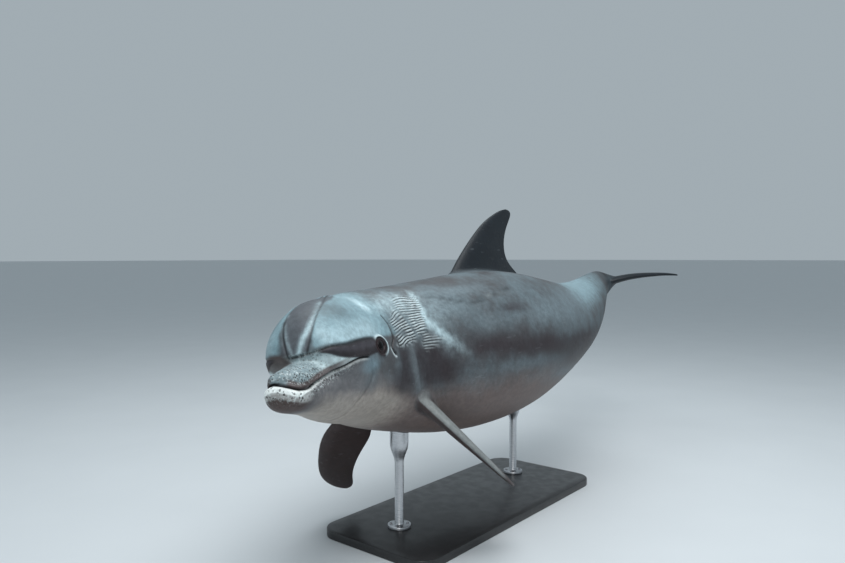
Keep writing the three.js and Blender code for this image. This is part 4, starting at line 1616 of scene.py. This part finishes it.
class Tree:
    """A material's node tree, built a node at a time."""

    def __init__(self, name: str) -> None:
        """Start a named material with a Principled shader."""
        self.material = bpy.data.materials.new(name)
        self.material.use_nodes = True
        self.nodes = self.material.node_tree.nodes
        self.links = self.material.node_tree.links
        self.shader = self.nodes["Principled BSDF"]

    def node(self, kind: str, settings: dict | None = None, **inputs: object) -> bpy.types.Node:
        """Add a node.

        Args:
            kind: The node's type.
            settings: Properties of the node.
            inputs: Values or sockets for its inputs, by name with underscores for spaces.

        Returns:
            The node.
        """
        made = self.nodes.new(kind)
        for key, value in (settings or {}).items():
            setattr(made, key, value)
        for key, value in inputs.items():
            self.put(made.inputs[key.replace("_", " ")], value)
        return made

    def put(self, socket: Socket, value: object) -> None:
        """Set an input to a value or join it to a socket."""
        if isinstance(value, bpy.types.NodeSocket):
            self.links.new(value, socket)
        else:
            socket.default_value = value

    def math(self, operation: str, *values: Socket | float, clamp: bool = False) -> Socket:
        """The result of a Math node."""
        made = self.node("ShaderNodeMath", {"operation": operation, "use_clamp": clamp})
        for socket, value in zip(made.inputs, values):
            self.put(socket, value)
        return made.outputs[0]

    def times(self, first: Socket | float, *others: Socket | float) -> Socket:
        """The product of values."""
        for other in others:
            first = self.math("MULTIPLY", first, other)
        return first

    def attribute(self, name: str, output: str = "Fac") -> Socket:
        """A mesh attribute."""
        return self.node("ShaderNodeAttribute", {"attribute_name": name}).outputs[output]

    def place(self) -> Socket:
        """The piece's own coordinates."""
        return self.node("ShaderNodeTexCoord").outputs["Object"]

    def noise(self, where: Socket, scale: float, detail: float = 2, rough: float = 0.5) -> Socket:
        """The value of a noise at some coordinates."""
        values = {"Vector": where, "Scale": scale, "Detail": detail, "Roughness": rough}
        return self.node("ShaderNodeTexNoise", **values).outputs["Fac"]

    def ramp(
        self, value: Socket, low: float, high: float, start: float = 0, end: float = 1
    ) -> Socket:
        """A value spread smoothly from one range to another."""
        ends = {"From_Min": low, "From_Max": high, "To_Min": start, "To_Max": end}
        settings = {"interpolation_type": "SMOOTHSTEP"}
        return self.node("ShaderNodeMapRange", settings, Value=value, **ends).outputs["Result"]

    def mix(
        self, share: Socket | float, first: object, second: object, blend: str = "MIX"
    ) -> Socket:
        """Two colours mixed."""
        made = self.node("ShaderNodeMix", {"data_type": "RGBA", "blend_type": blend})
        for number, value in ((0, share), (6, first), (7, second)):
            self.put(made.inputs[number], value)
        return made.outputs[2]

    def bumps(self, height: Socket, strength: float, distance: float) -> Socket:
        """Normals roughened by a height."""
        kind = "ShaderNodeBump"
        return self.node(kind, Height=height, Strength=strength, Distance=distance).outputs[0]

    def stretched(self, where: Socket, scale: Triple, turn: Triple = (0, 0, 0)) -> Socket:
        """Coordinates turned and stretched."""
        return self.node("ShaderNodeMapping", Vector=where, Scale=scale, Rotation=turn).outputs[0]

    def set(self, **values: object) -> None:
        """Set the shader's inputs by name with underscores for spaces."""
        for key, value in values.items():
            self.put(self.shader.inputs[key.replace("_", " ")], value)


def colour(red: float, green: float, blue: float) -> Colour:
    """A linear colour."""
    return (red, green, blue, 1.0)


@dataclass(frozen=True)
class Marking:
    """One of the skin's markings: its mask, its colour, and how noise breaks it up."""

    mask: str
    tint: Triple
    strength: float = 1.0
    broken: float = 0.3


@dataclass(frozen=True)
class SkinFinish:
    """Smooth wet-looking hide with its markings, scratches and speckles; some markings are painted
    highlights and painted shade.
    """

    name: str = "dolphin_hide"
    back: Colour = colour(0.060, 0.060, 0.064)
    back_light: Colour = colour(0.106, 0.138, 0.155)
    markings: tuple[Marking, ...] = (
        # the pale belly, painted darker to stand in for the shade under the body
        Marking("belly", (0.160, 0.119, 0.108), 0.9),
        # paler tone and painted highlights in soft clouds on the flanks
        Marking("haze", (0.145, 0.188, 0.210), 0.72, 0.5),
        # painted highlight on the top of the tail stock
        Marking("stock", (0.27, 0.40, 0.45), 0.72, 0.6),
        # dark flank band, partly its own colour and partly painted shade
        Marking("band", (0.033, 0.026, 0.028), 0.82),
        Marking("shade", (0.030, 0.022, 0.026), 0.72, 0.5),
        # painted shade on the neck behind the head
        Marking("behind", (0.024, 0.017, 0.020), 0.9),
        Marking("jaw", (0.125, 0.125, 0.132), 0.85),
        Marking("throat", (0.40, 0.355, 0.315), 0.85),
        # lighter brow, brightened further as painted highlight
        Marking("brow", (0.225, 0.345, 0.39), 0.85),
        Marking("cloud", (0.10, 0.135, 0.15), 0.8, 0.5),
        Marking("melon", (0.078, 0.086, 0.098), 0.92),
        Marking("cheek", (0.18, 0.27, 0.315), 0.6),
        # pale cheek above the stripe, brightened further as painted highlight
        Marking("pale", (0.345, 0.47, 0.515), 0.85),
        # painted highlight along the ridge behind the head
        Marking("arm_light", (0.13, 0.155, 0.17), 0.7, 0.4),
        # pale lines on the melon, and painted highlights over the head, the nape, the shoulder and
        # the streak
        Marking("light", (0.52, 0.68, 0.73), 0.87, 0.6),
        Marking("chin", (0.065, 0.042, 0.037), 0.9, 0.6),
        Marking("beak", (0.215, 0.28, 0.30), 0.9),
        Marking("wedge", (0.60, 0.73, 0.75), 0.85, 0.4),
        # painted shade where the melon meets the beak
        Marking("nose", (0.066, 0.043, 0.039), 0.85, 0.5),
        Marking("lip_low", (0.93, 0.97, 0.95), 1.0, 0.3),
        Marking("lip_high", (0.070, 0.042, 0.039), 0.9, 0.3),
        Marking("stripe", (0.015, 0.010, 0.012), 0.95, 0.3),
        Marking("stripe_light", (0.095, 0.090, 0.108), 0.4, 1.2),
        Marking("lid", (0.017, 0.008, 0.009), 0.97, 0.1),
        # painted highlight on the lids' upper rear rim
        Marking("lid_ridge", (0.66, 0.80, 0.84), 0.9, 0.2),
        # the fins' own dark grey, deepened to near black as painted shade
        Marking("fin", (0.003, 0.006, 0.010), 0.97, 0.1),
        Marking("flipper", (0.050, 0.033, 0.031), 0.92, 0.2),
        # painted highlight on the left flipper's upper leading edge
        Marking("flipper_light", (0.215, 0.232, 0.23), 0.88, 0.4),
        # pale scars, and painted highlights on the wrinkle crests and the ear's rim
        Marking("fine_light", (0.60, 0.68, 0.70), 1.0, 0.1),
        # painted shade in the mouth, slits, creases and folds
        Marking("dark", (0.006, 0.005, 0.006), 0.95, 0.1),
    )

    def make(self) -> Material:
        """Build the material."""
        tree = Tree(self.name)
        place = tree.attribute("place", "Vector")
        broad = tree.noise(place, 9, 4, 0.6)
        fine = tree.noise(place, 70, 5, 0.65)
        base = tree.mix(tree.ramp(broad, 0.33, 0.67), self.back, self.back_light)
        edge = tree.math("SUBTRACT", tree.noise(place, 42, 4, 0.6), 0.5)
        for marking in self.markings:
            mask = tree.attribute(marking.mask)
            soft = tree.times(mask, tree.math("SUBTRACT", 1.0, mask), 4.0)
            shift = tree.times(edge, marking.broken * 2, soft)
            share = tree.times(tree.math("ADD", mask, shift, clamp=True), marking.strength)
            base = tree.mix(share, base, colour(*marking.tint))
        base = self._speckle(tree, place, self._mottle(tree, base, fine))
        base, scratch = self._scratch(tree, place, base)
        roughness = tree.ramp(fine, 0.25, 0.75, 0.44, 0.56)
        grain = self._grain(tree, place, scratch)
        tree.set(Base_Color=base, Roughness=roughness, IOR=1.36, Normal=grain)
        return tree.material

    def _mottle(self, tree: Tree, base: Socket, fine: Socket) -> Socket:
        """Lighten and darken the hide in soft clouds."""
        clouds = tree.ramp(fine, 0.3, 0.72, 0.82, 1.16)
        grey = tree.node("ShaderNodeCombineColor", Red=clouds, Green=clouds, Blue=clouds)
        return tree.mix(1.0, base, grey.outputs[0], "MULTIPLY")

    def _speckle(self, tree: Tree, place: Socket, base: Socket) -> Socket:
        """Pale and dark flecks on the beak, chin and lips, and a few dark ones elsewhere."""
        pale = tree.ramp(tree.noise(place, 190, 3, 0.7), 0.5, 0.62)
        pale = tree.times(pale, tree.attribute("crust"), 0.55)
        base = tree.mix(pale, base, colour(0.64, 0.72, 0.72))
        spots = tree.node("ShaderNodeTexVoronoi", Vector=place, Scale=160.0, Randomness=1.0)
        spot = tree.ramp(spots.outputs["Distance"], 0.48, 0.30)
        patches = tree.ramp(tree.noise(place, 90, 2), 0.42, 0.56)
        where = tree.math("ADD", tree.attribute("fleck"), 0.08, clamp=True)
        return tree.mix(tree.times(spot, patches, where, 0.9), base, colour(0.022, 0.018, 0.019))

    def _scratch(self, tree: Tree, place: Socket, base: Socket) -> tuple[Socket, Socket]:
        """Fine pale scratches in a few directions, and where they are."""
        total = None
        for turn, stretch, low in ((0.35, 6.0, 0.70), (-0.5, 5.0, 0.72), (1.2, 7.0, 0.735)):
            spread = tree.stretched(place, (60 / stretch, 75, 75), (0.2, turn, turn * 0.6))
            line = tree.ramp(tree.noise(spread, 1.6, 1, 0.3), low, low + 0.045)
            total = line if total is None else tree.math("MAXIMUM", total, line)
        share = tree.times(total, tree.ramp(tree.noise(place, 13, 2), 0.48, 0.62), 0.07)
        return tree.mix(share, base, colour(0.42, 0.47, 0.50)), share

    def _grain(self, tree: Tree, place: Socket, scratch: Socket) -> Socket:
        """Fine unevenness of the hide, with the scratches cut in."""
        micro = tree.times(tree.noise(place, 420, 3, 0.6), 0.22)
        height = tree.math("ADD", micro, tree.noise(place, 95, 3, 0.55))
        return tree.bumps(tree.math("SUBTRACT", height, scratch), 0.35, 0.0012)


@dataclass(frozen=True)
class EyeFinish:
    """A dark eye: brown iris, wide pupil, brown rim and a clear wet surface."""

    name: str = "dolphin_eye"

    def make(self) -> Material:
        """Build the material."""
        tree = Tree(self.name)
        gaze = tree.attribute("gaze", "Vector")
        parts = tree.node("ShaderNodeSeparateXYZ", Vector=gaze)
        across = tree.math("POWER", tree.times(parts.outputs["X"], 0.8), 2.0)
        radius = tree.math("ADD", across, tree.math("POWER", parts.outputs["Z"], 2.0))
        radius = tree.math("SQRT", radius)
        streaks = tree.noise(tree.stretched(gaze, (3, 3, 3)), 9, 4, 0.7)
        iris = tree.mix(streaks, colour(0.012, 0.005, 0.005), colour(0.040, 0.016, 0.013))
        rim = tree.mix(tree.ramp(radius, 0.92, 1.0), iris, colour(0.02, 0.011, 0.012))
        shown = tree.mix(tree.ramp(radius, 0.88, 0.82), rim, colour(0.0018, 0.0018, 0.0022))
        tree.set(Base_Color=shown, Roughness=0.06, IOR=1.25)
        return tree.material


@dataclass(frozen=True)
class PlateFinish:
    """Satin black paint with a faint orange-peel grain."""

    name: str = "satin_black_paint"

    def make(self) -> Material:
        """Build the material."""
        tree = Tree(self.name)
        place = tree.place()
        wear = tree.ramp(tree.noise(place, 14, 5, 0.6), 0.35, 0.75)
        tint = tree.mix(wear, colour(0.012, 0.012, 0.013), colour(0.019, 0.019, 0.02))
        peel = tree.bumps(tree.noise(place, 650), 0.25, 0.0006)
        rough = tree.ramp(tree.noise(place, 30, 4), 0.3, 0.7, 0.32, 0.42)
        tree.set(Base_Color=tint, Roughness=rough, Normal=peel, Coat_Weight=0.1)
        return tree.material


@dataclass(frozen=True)
class SteelFinish:
    """Brushed steel, its grain running round or along the piece."""

    name: str
    tint: Colour = colour(0.52, 0.53, 0.55)
    rough: Pair = (0.24, 0.38)
    grain: Triple = (30, 30, 900)

    def make(self) -> Material:
        """Build the material."""
        tree = Tree(self.name)
        place = tree.place()
        lines = tree.noise(tree.stretched(place, self.grain), 1.0, 3, 0.6)
        rough = tree.ramp(lines, 0.25, 0.75, *self.rough)
        smears = tree.ramp(tree.noise(place, 25, 4, 0.6), 0.3, 0.75, 0.86, 1.0)
        shade = tree.mix(smears, colour(0.36, 0.37, 0.39), self.tint)
        brushed = tree.bumps(lines, 0.15, 0.0004)
        tree.set(Base_Color=shade, Metallic=1.0, Roughness=rough, Normal=brushed)
        return tree.material


@dataclass(frozen=True)
class RubberFinish:
    """Matt black rubber."""

    name: str = "cradle_rubber"

    def make(self) -> Material:
        """Build the material."""
        tree = Tree(self.name)
        place = tree.place()
        dust = tree.ramp(tree.noise(place, 120, 4), 0.4, 0.75)
        tint = tree.mix(dust, colour(0.012, 0.012, 0.012), colour(0.03, 0.03, 0.031))
        grain = tree.bumps(tree.noise(place, 900), 0.3, 0.0005)
        tree.set(Base_Color=tint, Roughness=0.75, Normal=grain)
        return tree.material


# ---- Pieces ----


def add_piece(name: str, mesh: bpy.types.Mesh, smooth: bool = True) -> bpy.types.Object:
    """An object of its own at the origin for a mesh."""
    mesh.name = name
    mesh.polygons.foreach_set("use_smooth", [smooth] * len(mesh.polygons))
    piece = bpy.data.objects.new(name, mesh)
    bpy.context.scene.collection.objects.link(piece)
    return piece


def make_piece(
    name: str, points: Array, faces: Faces, material: Material, smooth: bool = True
) -> bpy.types.Object:
    """A mesh object at the origin, its points given in millimetres of the stand's frame."""
    mesh = bpy.data.meshes.new(name)
    mesh.from_pydata((points * MM).tolist(), [], faces)
    mesh.materials.append(material)
    mesh.update()
    return add_piece(name, mesh, smooth)


def put_attribute(mesh: bpy.types.Mesh, name: str, values: Array) -> None:
    """Store a number or a vector at each vertex."""
    vector = values.ndim > 1
    made = mesh.attributes.new(name, "FLOAT_VECTOR" if vector else "FLOAT", "POINT")
    made.data.foreach_set("vector" if vector else "value", values.astype(np.float32).ravel())


@dataclass
class Dolphin:
    """The animal: one skin over all its flesh, and two eyes."""

    form: BodyForm = field(default_factory=BodyForm)
    pose: Pose = field(default_factory=Pose)
    features: Features = field(default_factory=Features)
    fins: tuple[Fin, ...] = (DORSAL, *FLIPPERS)
    flukes: Flukes = FLUKES
    eye: Eye = EYE
    seed: int = 5
    flesh: tuple[str, ...] = (
        "blowhole", "head", "beak_upper", "beak_lower", "neck", "thorax", "abdomen", "tail_stock",
        "dorsal_fin", "fluke_left", "fluke_right", "flipper_left", "flipper_right",
    )

    def skin(self) -> bpy.types.Object:
        """Build the skin, pose it and dress it."""
        noise = Noise(self.seed)
        outlines = [fin.outline(self.form) for fin in self.fins]
        outlines += [self.eye.outline(self.form, side) for side in (-1, 1)]
        grid = SkinGrid(self.form)
        grid.build(self.features.detail, outlines)
        rims = grid.rims()
        loops = [grid.open(rims, outline) for outline in outlines]
        made = SkinBuild.start(self.form.surface(*grid.uv.T), grid.faces)
        for fin, loop in zip(self.fins, loops):
            fin.grow(made, self.form, loop)
        for side, loop in zip((-1, 1), loops[len(self.fins) :]):
            self.eye.grow(made, self.form, loop, side)
        tail = np.flatnonzero(grid.uv[:, 0] == self.form.rows)
        self.flukes.grow(made, self.form, tail[np.argsort(grid.uv[tail, 1])])
        LOG.info("skin grid: %d vertices, %d faces", len(made.points), len(made.faces))
        piece = make_piece("skin", made.points, made.faces, SkinFinish().make())
        mesh = piece.data
        normals = np.zeros(len(made.points) * 3, np.float32)
        mesh.vertices.foreach_get("normal", normals)
        relief = self.features.relief(made.points, made, noise)
        raised = made.points + normals.reshape(-1, 3) * relief[:, None]
        put_attribute(mesh, "place", raised * MM)
        for name, values in self.features.masks(made.points, made, noise).items():
            put_attribute(mesh, name, values)
        mesh.vertices.foreach_set("co", (self.posed(raised, made) * MM).ravel())
        mesh.update()
        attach(piece, ROOT)
        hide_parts(*self.flesh)
        return piece

    def posed(self, points: Array, skin: SkinBuild) -> Array:
        """Pose the skin's points, the flippers held rigid at their roots."""
        placed = self.pose(points)
        for fin in self.fins:
            if fin.limb:
                own = skin.limb == fin.limb
                held = self.pose.rigid(points[own], np.array(fin.place.root, float))
                share = skin.rigid[own][:, None]
                placed[own] = placed[own] * (1 - share) + held * share
        return placed

    def eyes(self) -> list[bpy.types.Object]:
        """Build both eyes."""
        material = EyeFinish().make()
        made = []
        for side, name in ((-1, "left"), (1, "right")):
            points, faces, gaze = self.eye.ball(side)
            piece = make_piece(f"eyeball_{name}", self.pose(points), faces, material)
            put_attribute(piece.data, "gaze", gaze)
            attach(piece, ROOT)
            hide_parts(f"eye_{name}")
            made.append(piece)
        return made


# ---- The stand ----


def stacked_faces(rings: int, wide: int) -> Faces:
    """Faces of a closed solid made of like rings of points, one over the other."""
    faces = [tuple(range(wide))[::-1]]
    for k in range(rings - 1):
        for a in range(wide):
            b = (a + 1) % wide
            faces.append((k * wide + a, k * wide + b, (k + 1) * wide + b, (k + 1) * wide + a))
    last = (rings - 1) * wide
    return faces + [tuple(range(last, last + wide))]


def circle(radius: float | Array, z: float, sides: int, centre: Pair = (0, 0)) -> Array:
    """A level ring of points, at one radius or at one for each."""
    angle = 2 * np.pi * np.arange(sides) / sides
    x, y = centre[0] + radius * np.cos(angle), centre[1] + radius * np.sin(angle)
    return np.column_stack([x, y, np.full(sides, z)])


def lathe(profile: Rows, sides: int, centre: Pair) -> tuple[Array, Faces]:
    """A closed turned solid standing on its axis.

    Args:
        profile: Radius and height pairs, from the bottom up.
        sides: Faces round it.
        centre: Where the axis stands.

    Returns:
        Its points, ring by ring, and its faces.
    """
    rings = [circle(radius, z, sides, centre) for radius, z in profile]
    return np.vstack(rings), stacked_faces(len(profile), sides)


@dataclass
class Stand:
    """A flat base plate with two turned rods that cradle the belly."""

    length: float = 940
    width: float = 400
    thick: float = 24
    corner: float = 60
    corner_steps: int = 14
    rods: tuple[tuple[str, Pair], ...] = (("front", (-320, 20)), ("rear", (330, 45)))
    # Rim of the plate, from below: how far in, and height from the underside or from the top
    lower_rim: Rows = ((2.6, 0), (0.8, 0.8), (0, 2.6))
    upper_rim: Rows = ((0, -3), (0.9, -0.9), (3, 0))
    sides: int = 72
    rod: float = 13
    foot: float = 34
    foot_top: float = 33
    cup: float = 27
    cup_from: float = 212
    cup_to: float = 266
    cup_steps: int = 8
    belly: float = 278
    cup_gap: float = 3
    # Collar, from below: how far out from the cup, and height over the belly's skin
    collar: Rows = ((0, -3.0), (0.4, -2.4), (0.4, 0.4), (-2, 2.5))
    screw_circle: float = 24
    screws: int = 4
    screw_sides: int = 24
    screw_profile: Rows = ((3.9, -0.1), (4.2, 0.2), (4.2, 2.7), (3.7, 3.3))
    socket_half: float = 2.05
    socket_floor: float = 1.3

    def base(self) -> bpy.types.Object:
        """Build the base plate, its edges eased."""
        rim = (*self.lower_rim, *((inset, self.thick + z) for inset, z in self.upper_rim))
        steps = np.arange(self.corner_steps + 1) / self.corner_steps
        rings = []
        for inset, z in rim:
            for k, (sx, sy) in enumerate(((1, 1), (-1, 1), (-1, -1), (1, -1))):
                angle = (k + steps) * np.pi / 2
                x = sx * (self.length / 2 - self.corner) + (self.corner - inset) * np.cos(angle)
                y = sy * (self.width / 2 - self.corner) + (self.corner - inset) * np.sin(angle)
                rings.append(np.column_stack([x, y, np.full(len(x), z)]))
        faces = stacked_faces(len(rim), 4 * len(steps))
        piece = make_piece("base_plate", np.vstack(rings), faces, PlateFinish().make())
        piece.data.set_sharp_from_angle(angle=SHARP_ANGLE)
        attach(piece, ROOT)
        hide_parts("stand_base")
        return piece

    def rod_profile(self) -> Rows:
        """Radius and height pairs of a rod: its foot, its shaft and its cup."""
        foot, top = self.foot, self.foot_top
        profile = [(foot - 1, self.thick), (foot, self.thick + 1), (foot, top - 2.2)]
        profile += [(foot - 0.7, top - 0.7), (foot - 2.2, top), (self.rod + 4, top)]
        profile += [(self.rod + 1.3, top + 1.2), (self.rod, top + 4), (self.rod, self.cup_from)]
        for k in range(1, self.cup_steps + 1):
            t = k / self.cup_steps
            radius = self.rod + (self.cup - self.rod) * float(ease(0, 1, t))
            profile.append((radius, self.cup_from + (self.cup_to - self.cup_from) * t))
        return (*profile, (self.cup, self.belly - 2 * self.cup_gap), (self.cup, self.belly))

    def rod_at(
        self, name: str, centre: Pair, skin: BVHTree, steel: Material, rubber: Material
    ) -> list[bpy.types.Object]:
        """Build one rod, and the rubber collar between its cup and the belly.

        Args:
            name: The rod's name.
            centre: Where it stands.
            skin: The skin, to find the belly over the rod.
            steel: The rod's material.
            rubber: The collar's material.

        Returns:
            The rod and the collar.
        """
        points, faces = lathe(self.rod_profile(), self.sides, centre)
        rings = points.reshape(-1, self.sides, 3)
        under = self._belly(rings[-1], skin)
        rings[-1, :, 2] = under - self.cup_gap
        rings[-2, :, 2] = np.minimum(under - 3 * self.cup_gap, self.belly)
        rod = make_piece(f"rod_{name}", points, faces, steel)
        rod.data.set_sharp_from_angle(angle=SHARP_ANGLE)
        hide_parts(f"stand_rod_{name}")
        profile = tuple((self.cup + out, 0) for out, _ in self.collar)
        points, faces = lathe(profile, self.sides, centre)
        for ring, (_, rise) in zip(points.reshape(-1, self.sides, 3), self.collar):
            ring[:, 2] = self._belly(ring, skin) + rise
        collar = make_piece(f"collar_{name}", points, faces, rubber)
        for piece in (rod, collar):
            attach(piece, ROOT)
        return [rod, collar]

    def _belly(self, points: Array, skin: BVHTree) -> Array:
        """Height of the skin over each point."""
        heights = []
        for x, y, _ in points:
            hit = skin.ray_cast(Vector((x * MM, y * MM, 0.1)), Vector((0, 0, 1)))[0]
            heights.append(hit.z / MM if hit else self.belly)
        return np.array(heights)

    def screw(self, material: Material) -> bpy.types.Object:
        """One socket cap screw, its seat at the origin."""
        sides = self.screw_sides
        points, faces = lathe(self.screw_profile, sides, (0, 0))
        faces.pop()
        first = len(points)
        angle = 2 * np.pi * np.arange(sides) / sides
        hexagon = self.socket_half / np.cos((angle + np.pi / 6) % (np.pi / 3) - np.pi / 6)
        top = self.screw_profile[-1][1]
        points = np.vstack([points, *(circle(hexagon, z, sides) for z in (top, self.socket_floor))])
        for a in range(sides):
            b = (a + 1) % sides
            for low in (first - sides, first):
                faces.append((low + a, low + b, low + sides + b, low + sides + a))
        faces.append(tuple(range(first + sides, first + 2 * sides)))
        return make_piece("screw_pattern", points, faces, material)

    def screw_tree(self) -> bpy.types.GeometryNodeTree:
        """A node tree that sets screws evenly on a circle."""
        tree = bpy.data.node_groups.new("screw_circle", "GeometryNodeTree")
        for name, kind, way in (
            ("Geometry", "Geometry", "OUTPUT"),
            ("Geometry", "Geometry", "INPUT"),
            ("Screw", "Object", "INPUT"),
            ("Material", "Material", "INPUT"),
            ("Count", "Int", "INPUT"),
            ("Circle Radius", "Float", "INPUT"),
            ("First Angle", "Float", "INPUT"),
            ("Centre", "Vector", "INPUT"),
        ):
            tree.interface.new_socket(name, in_out=way, socket_type=f"NodeSocket{kind}")
        add = tree.nodes.new
        given, out = add("NodeGroupInput"), add("NodeGroupOutput")
        ring, turn = add("GeometryNodeMeshCircle"), add("ShaderNodeCombineXYZ")
        place, info = add("GeometryNodeTransform"), add("GeometryNodeObjectInfo")
        spin, onto = add("FunctionNodeRandomValue"), add("GeometryNodeInstanceOnPoints")
        real, dress = add("GeometryNodeRealizeInstances"), add("GeometryNodeSetMaterial")
        spin.data_type = "FLOAT_VECTOR"
        spin.inputs["Min"].default_value = (0, 0, 0)
        spin.inputs["Max"].default_value = (0, 0, math.tau)
        spin.inputs["Seed"].default_value = 3
        for source, output, target, entry in (
            (given, "Count", ring, "Vertices"),
            (given, "Circle Radius", ring, "Radius"),
            (given, "First Angle", turn, "Z"),
            (ring, "Mesh", place, "Geometry"),
            (given, "Centre", place, "Translation"),
            (turn, 0, place, "Rotation"),
            (given, "Screw", info, "Object"),
            (place, 0, onto, "Points"),
            (info, "Geometry", onto, "Instance"),
            (spin, "Value", onto, "Rotation"),
            (onto, 0, real, 0),
            (real, 0, dress, "Geometry"),
            (given, "Material", dress, "Material"),
            (dress, 0, out, 0),
        ):
            tree.links.new(source.outputs[output], target.inputs[entry])
        return tree

    def screws_at(self, name: str, shared: dict[str, object], centre: Pair) -> bpy.types.Object:
        """The screws of one rod's foot, as a plain mesh.

        Args:
            name: The rod's name.
            shared: The node tree under "tree", and those of its inputs that both rods share.
            centre: Where the rod stands.

        Returns:
            The screws.
        """
        holder = bpy.data.objects.new("holder", bpy.data.meshes.new("holder"))
        bpy.context.scene.collection.objects.link(holder)
        maker = holder.modifiers.new("screws", "NODES")
        maker.node_group = shared["tree"]
        values = shared | {"Centre": tuple(MM * v for v in (*centre, self.foot_top))}
        for item in maker.node_group.interface.items_tree:
            if item.in_out == "INPUT" and item.name in values:
                maker[item.identifier] = values[item.name]
        graph = bpy.context.evaluated_depsgraph_get()
        mesh = bpy.data.meshes.new_from_object(holder.evaluated_get(graph))
        bpy.data.objects.remove(holder)
        piece = add_piece(f"screws_{name}", mesh)
        mesh.set_sharp_from_angle(angle=SHARP_ANGLE)
        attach(piece, ROOT)
        return piece

    def build(self, skin: bpy.types.Object) -> list[bpy.types.Object]:
        """Build the whole stand under the skin."""
        steel = SteelFinish("brushed_steel").make()
        tint = colour(0.42, 0.42, 0.44)
        bright = SteelFinish("screw_steel", tint, (0.2, 0.3), (80, 80, 80)).make()
        rubber = RubberFinish().make()
        flesh = skin.data
        surface = [v.co.copy() for v in flesh.vertices]
        belly = BVHTree.FromPolygons(surface, [tuple(p.vertices) for p in flesh.polygons])
        made = [self.base()]
        pattern = self.screw(bright)
        shared = {
            "tree": self.screw_tree(),
            "Screw": pattern,
            "Material": bright,
            "Count": self.screws,
            "Circle Radius": self.screw_circle * MM,
            "First Angle": math.pi / 4,
        }
        for name, centre in self.rods:
            made += self.rod_at(name, centre, belly, steel, rubber)
            made.append(self.screws_at(name, shared, centre))
        bpy.data.objects.remove(pattern)
        return made


# ---- The studio ----


@dataclass
class Studio:
    """A plain pale floor, soft lights and the camera."""

    floor_size: float = 300
    eye_at: Triple = (-1.8325, -1.3130, 0.8028)
    heading: float = 39.458
    pitch: float = -2.011
    roll: float = -0.087
    lens: float = 30.107
    sensor: float = 36

    def floor(self) -> None:
        """Lay the floor."""
        half = self.floor_size / 2
        tree = Tree("pale_floor")
        place = tree.place()
        tint = tree.mix(tree.noise(place, 3, 3), colour(0.58, 0.61, 0.63), colour(0.62, 0.65, 0.67))
        tree.set(Base_Color=tint, Roughness=0.75)
        square = np.array([(-half, -half, 0), (half, -half, 0), (half, half, 0), (-half, half, 0)])
        make_piece("floor", square / MM, [(0, 1, 2, 3)], tree.material, False)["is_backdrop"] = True

    def light(
        self, name: str, at: Triple, aim: Triple, size: float, watts: float, tint: Triple
    ) -> None:
        """Hang a square soft light."""
        lamp = bpy.data.lights.new(name, "AREA")
        lamp.shape = "SQUARE"
        lamp.size = size
        lamp.energy = watts
        lamp.color = tint
        held = bpy.data.objects.new(name, lamp)
        bpy.context.scene.collection.objects.link(held)
        held.location = at
        held.rotation_euler = (Vector(aim) - Vector(at)).to_track_quat("-Z", "Y").to_euler()

    def lights(self) -> None:
        """Hang the lights and set the pale surroundings."""
        self.light("key", (-0.9, -1.3, 3.6), (-0.1, 0, 0.5), 2.2, 100, (0.97, 0.99, 1.0))
        self.light("top", (0.6, 0.6, 3.4), (0.3, 0, 0.5), 2.4, 36, (0.93, 0.98, 1.0))
        self.light("fill", (-7.2, -5.4, 3.4), (-0.3, 0, 0.4), 4.0, 105, (1.0, 0.98, 0.95))
        world = bpy.data.worlds.new("surroundings")
        world.use_nodes = True
        back = world.node_tree.nodes["Background"]
        back.inputs["Color"].default_value = colour(0.72, 0.83, 0.90)
        back.inputs["Strength"].default_value = 0.5
        bpy.context.scene.world = world
        bpy.context.scene.view_settings.view_transform = "Standard"

    def camera(self) -> None:
        """Place the camera."""
        lens = bpy.data.cameras.new("camera")
        lens.lens = self.lens
        lens.sensor_width = self.sensor
        lens.clip_start, lens.clip_end = 0.05, 200
        held = bpy.data.objects.new("camera", lens)
        bpy.context.scene.collection.objects.link(held)
        turn = Matrix.Rotation(math.radians(self.heading - 90), 4, "Z")
        tip = Matrix.Rotation(math.radians(90 + self.pitch), 4, "X")
        lean = Matrix.Rotation(math.radians(self.roll), 4, "Z")
        held.matrix_world = Matrix.Translation(self.eye_at) @ turn @ tip @ lean
        bpy.context.scene.camera = held

    def build(self) -> None:
        """Set up the studio."""
        self.floor()
        self.lights()
        self.camera()


def corners(box: Rows) -> list[list[float]]:
    """A box as plain lists."""
    return [list(corner) for corner in box]


def main() -> None:
    """Build every piece in order."""
    logging.basicConfig(level=logging.INFO, format="%(name)s: %(message)s")
    solid_box = corners(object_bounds())
    dolphin = Dolphin()
    skin = dolphin.skin()
    LOG.info("skin done: %d faces", len(skin.data.polygons))
    for piece in dolphin.eyes():
        LOG.info("%s done", piece.name)
    for piece in Stand().build(skin):
        LOG.info("%s done", piece.name)
    Studio().build()
    bpy.context.view_layer.update()
    {"cad": solid_box, "visual": corners(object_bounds())}


if __name__ == "__main__":
    main()
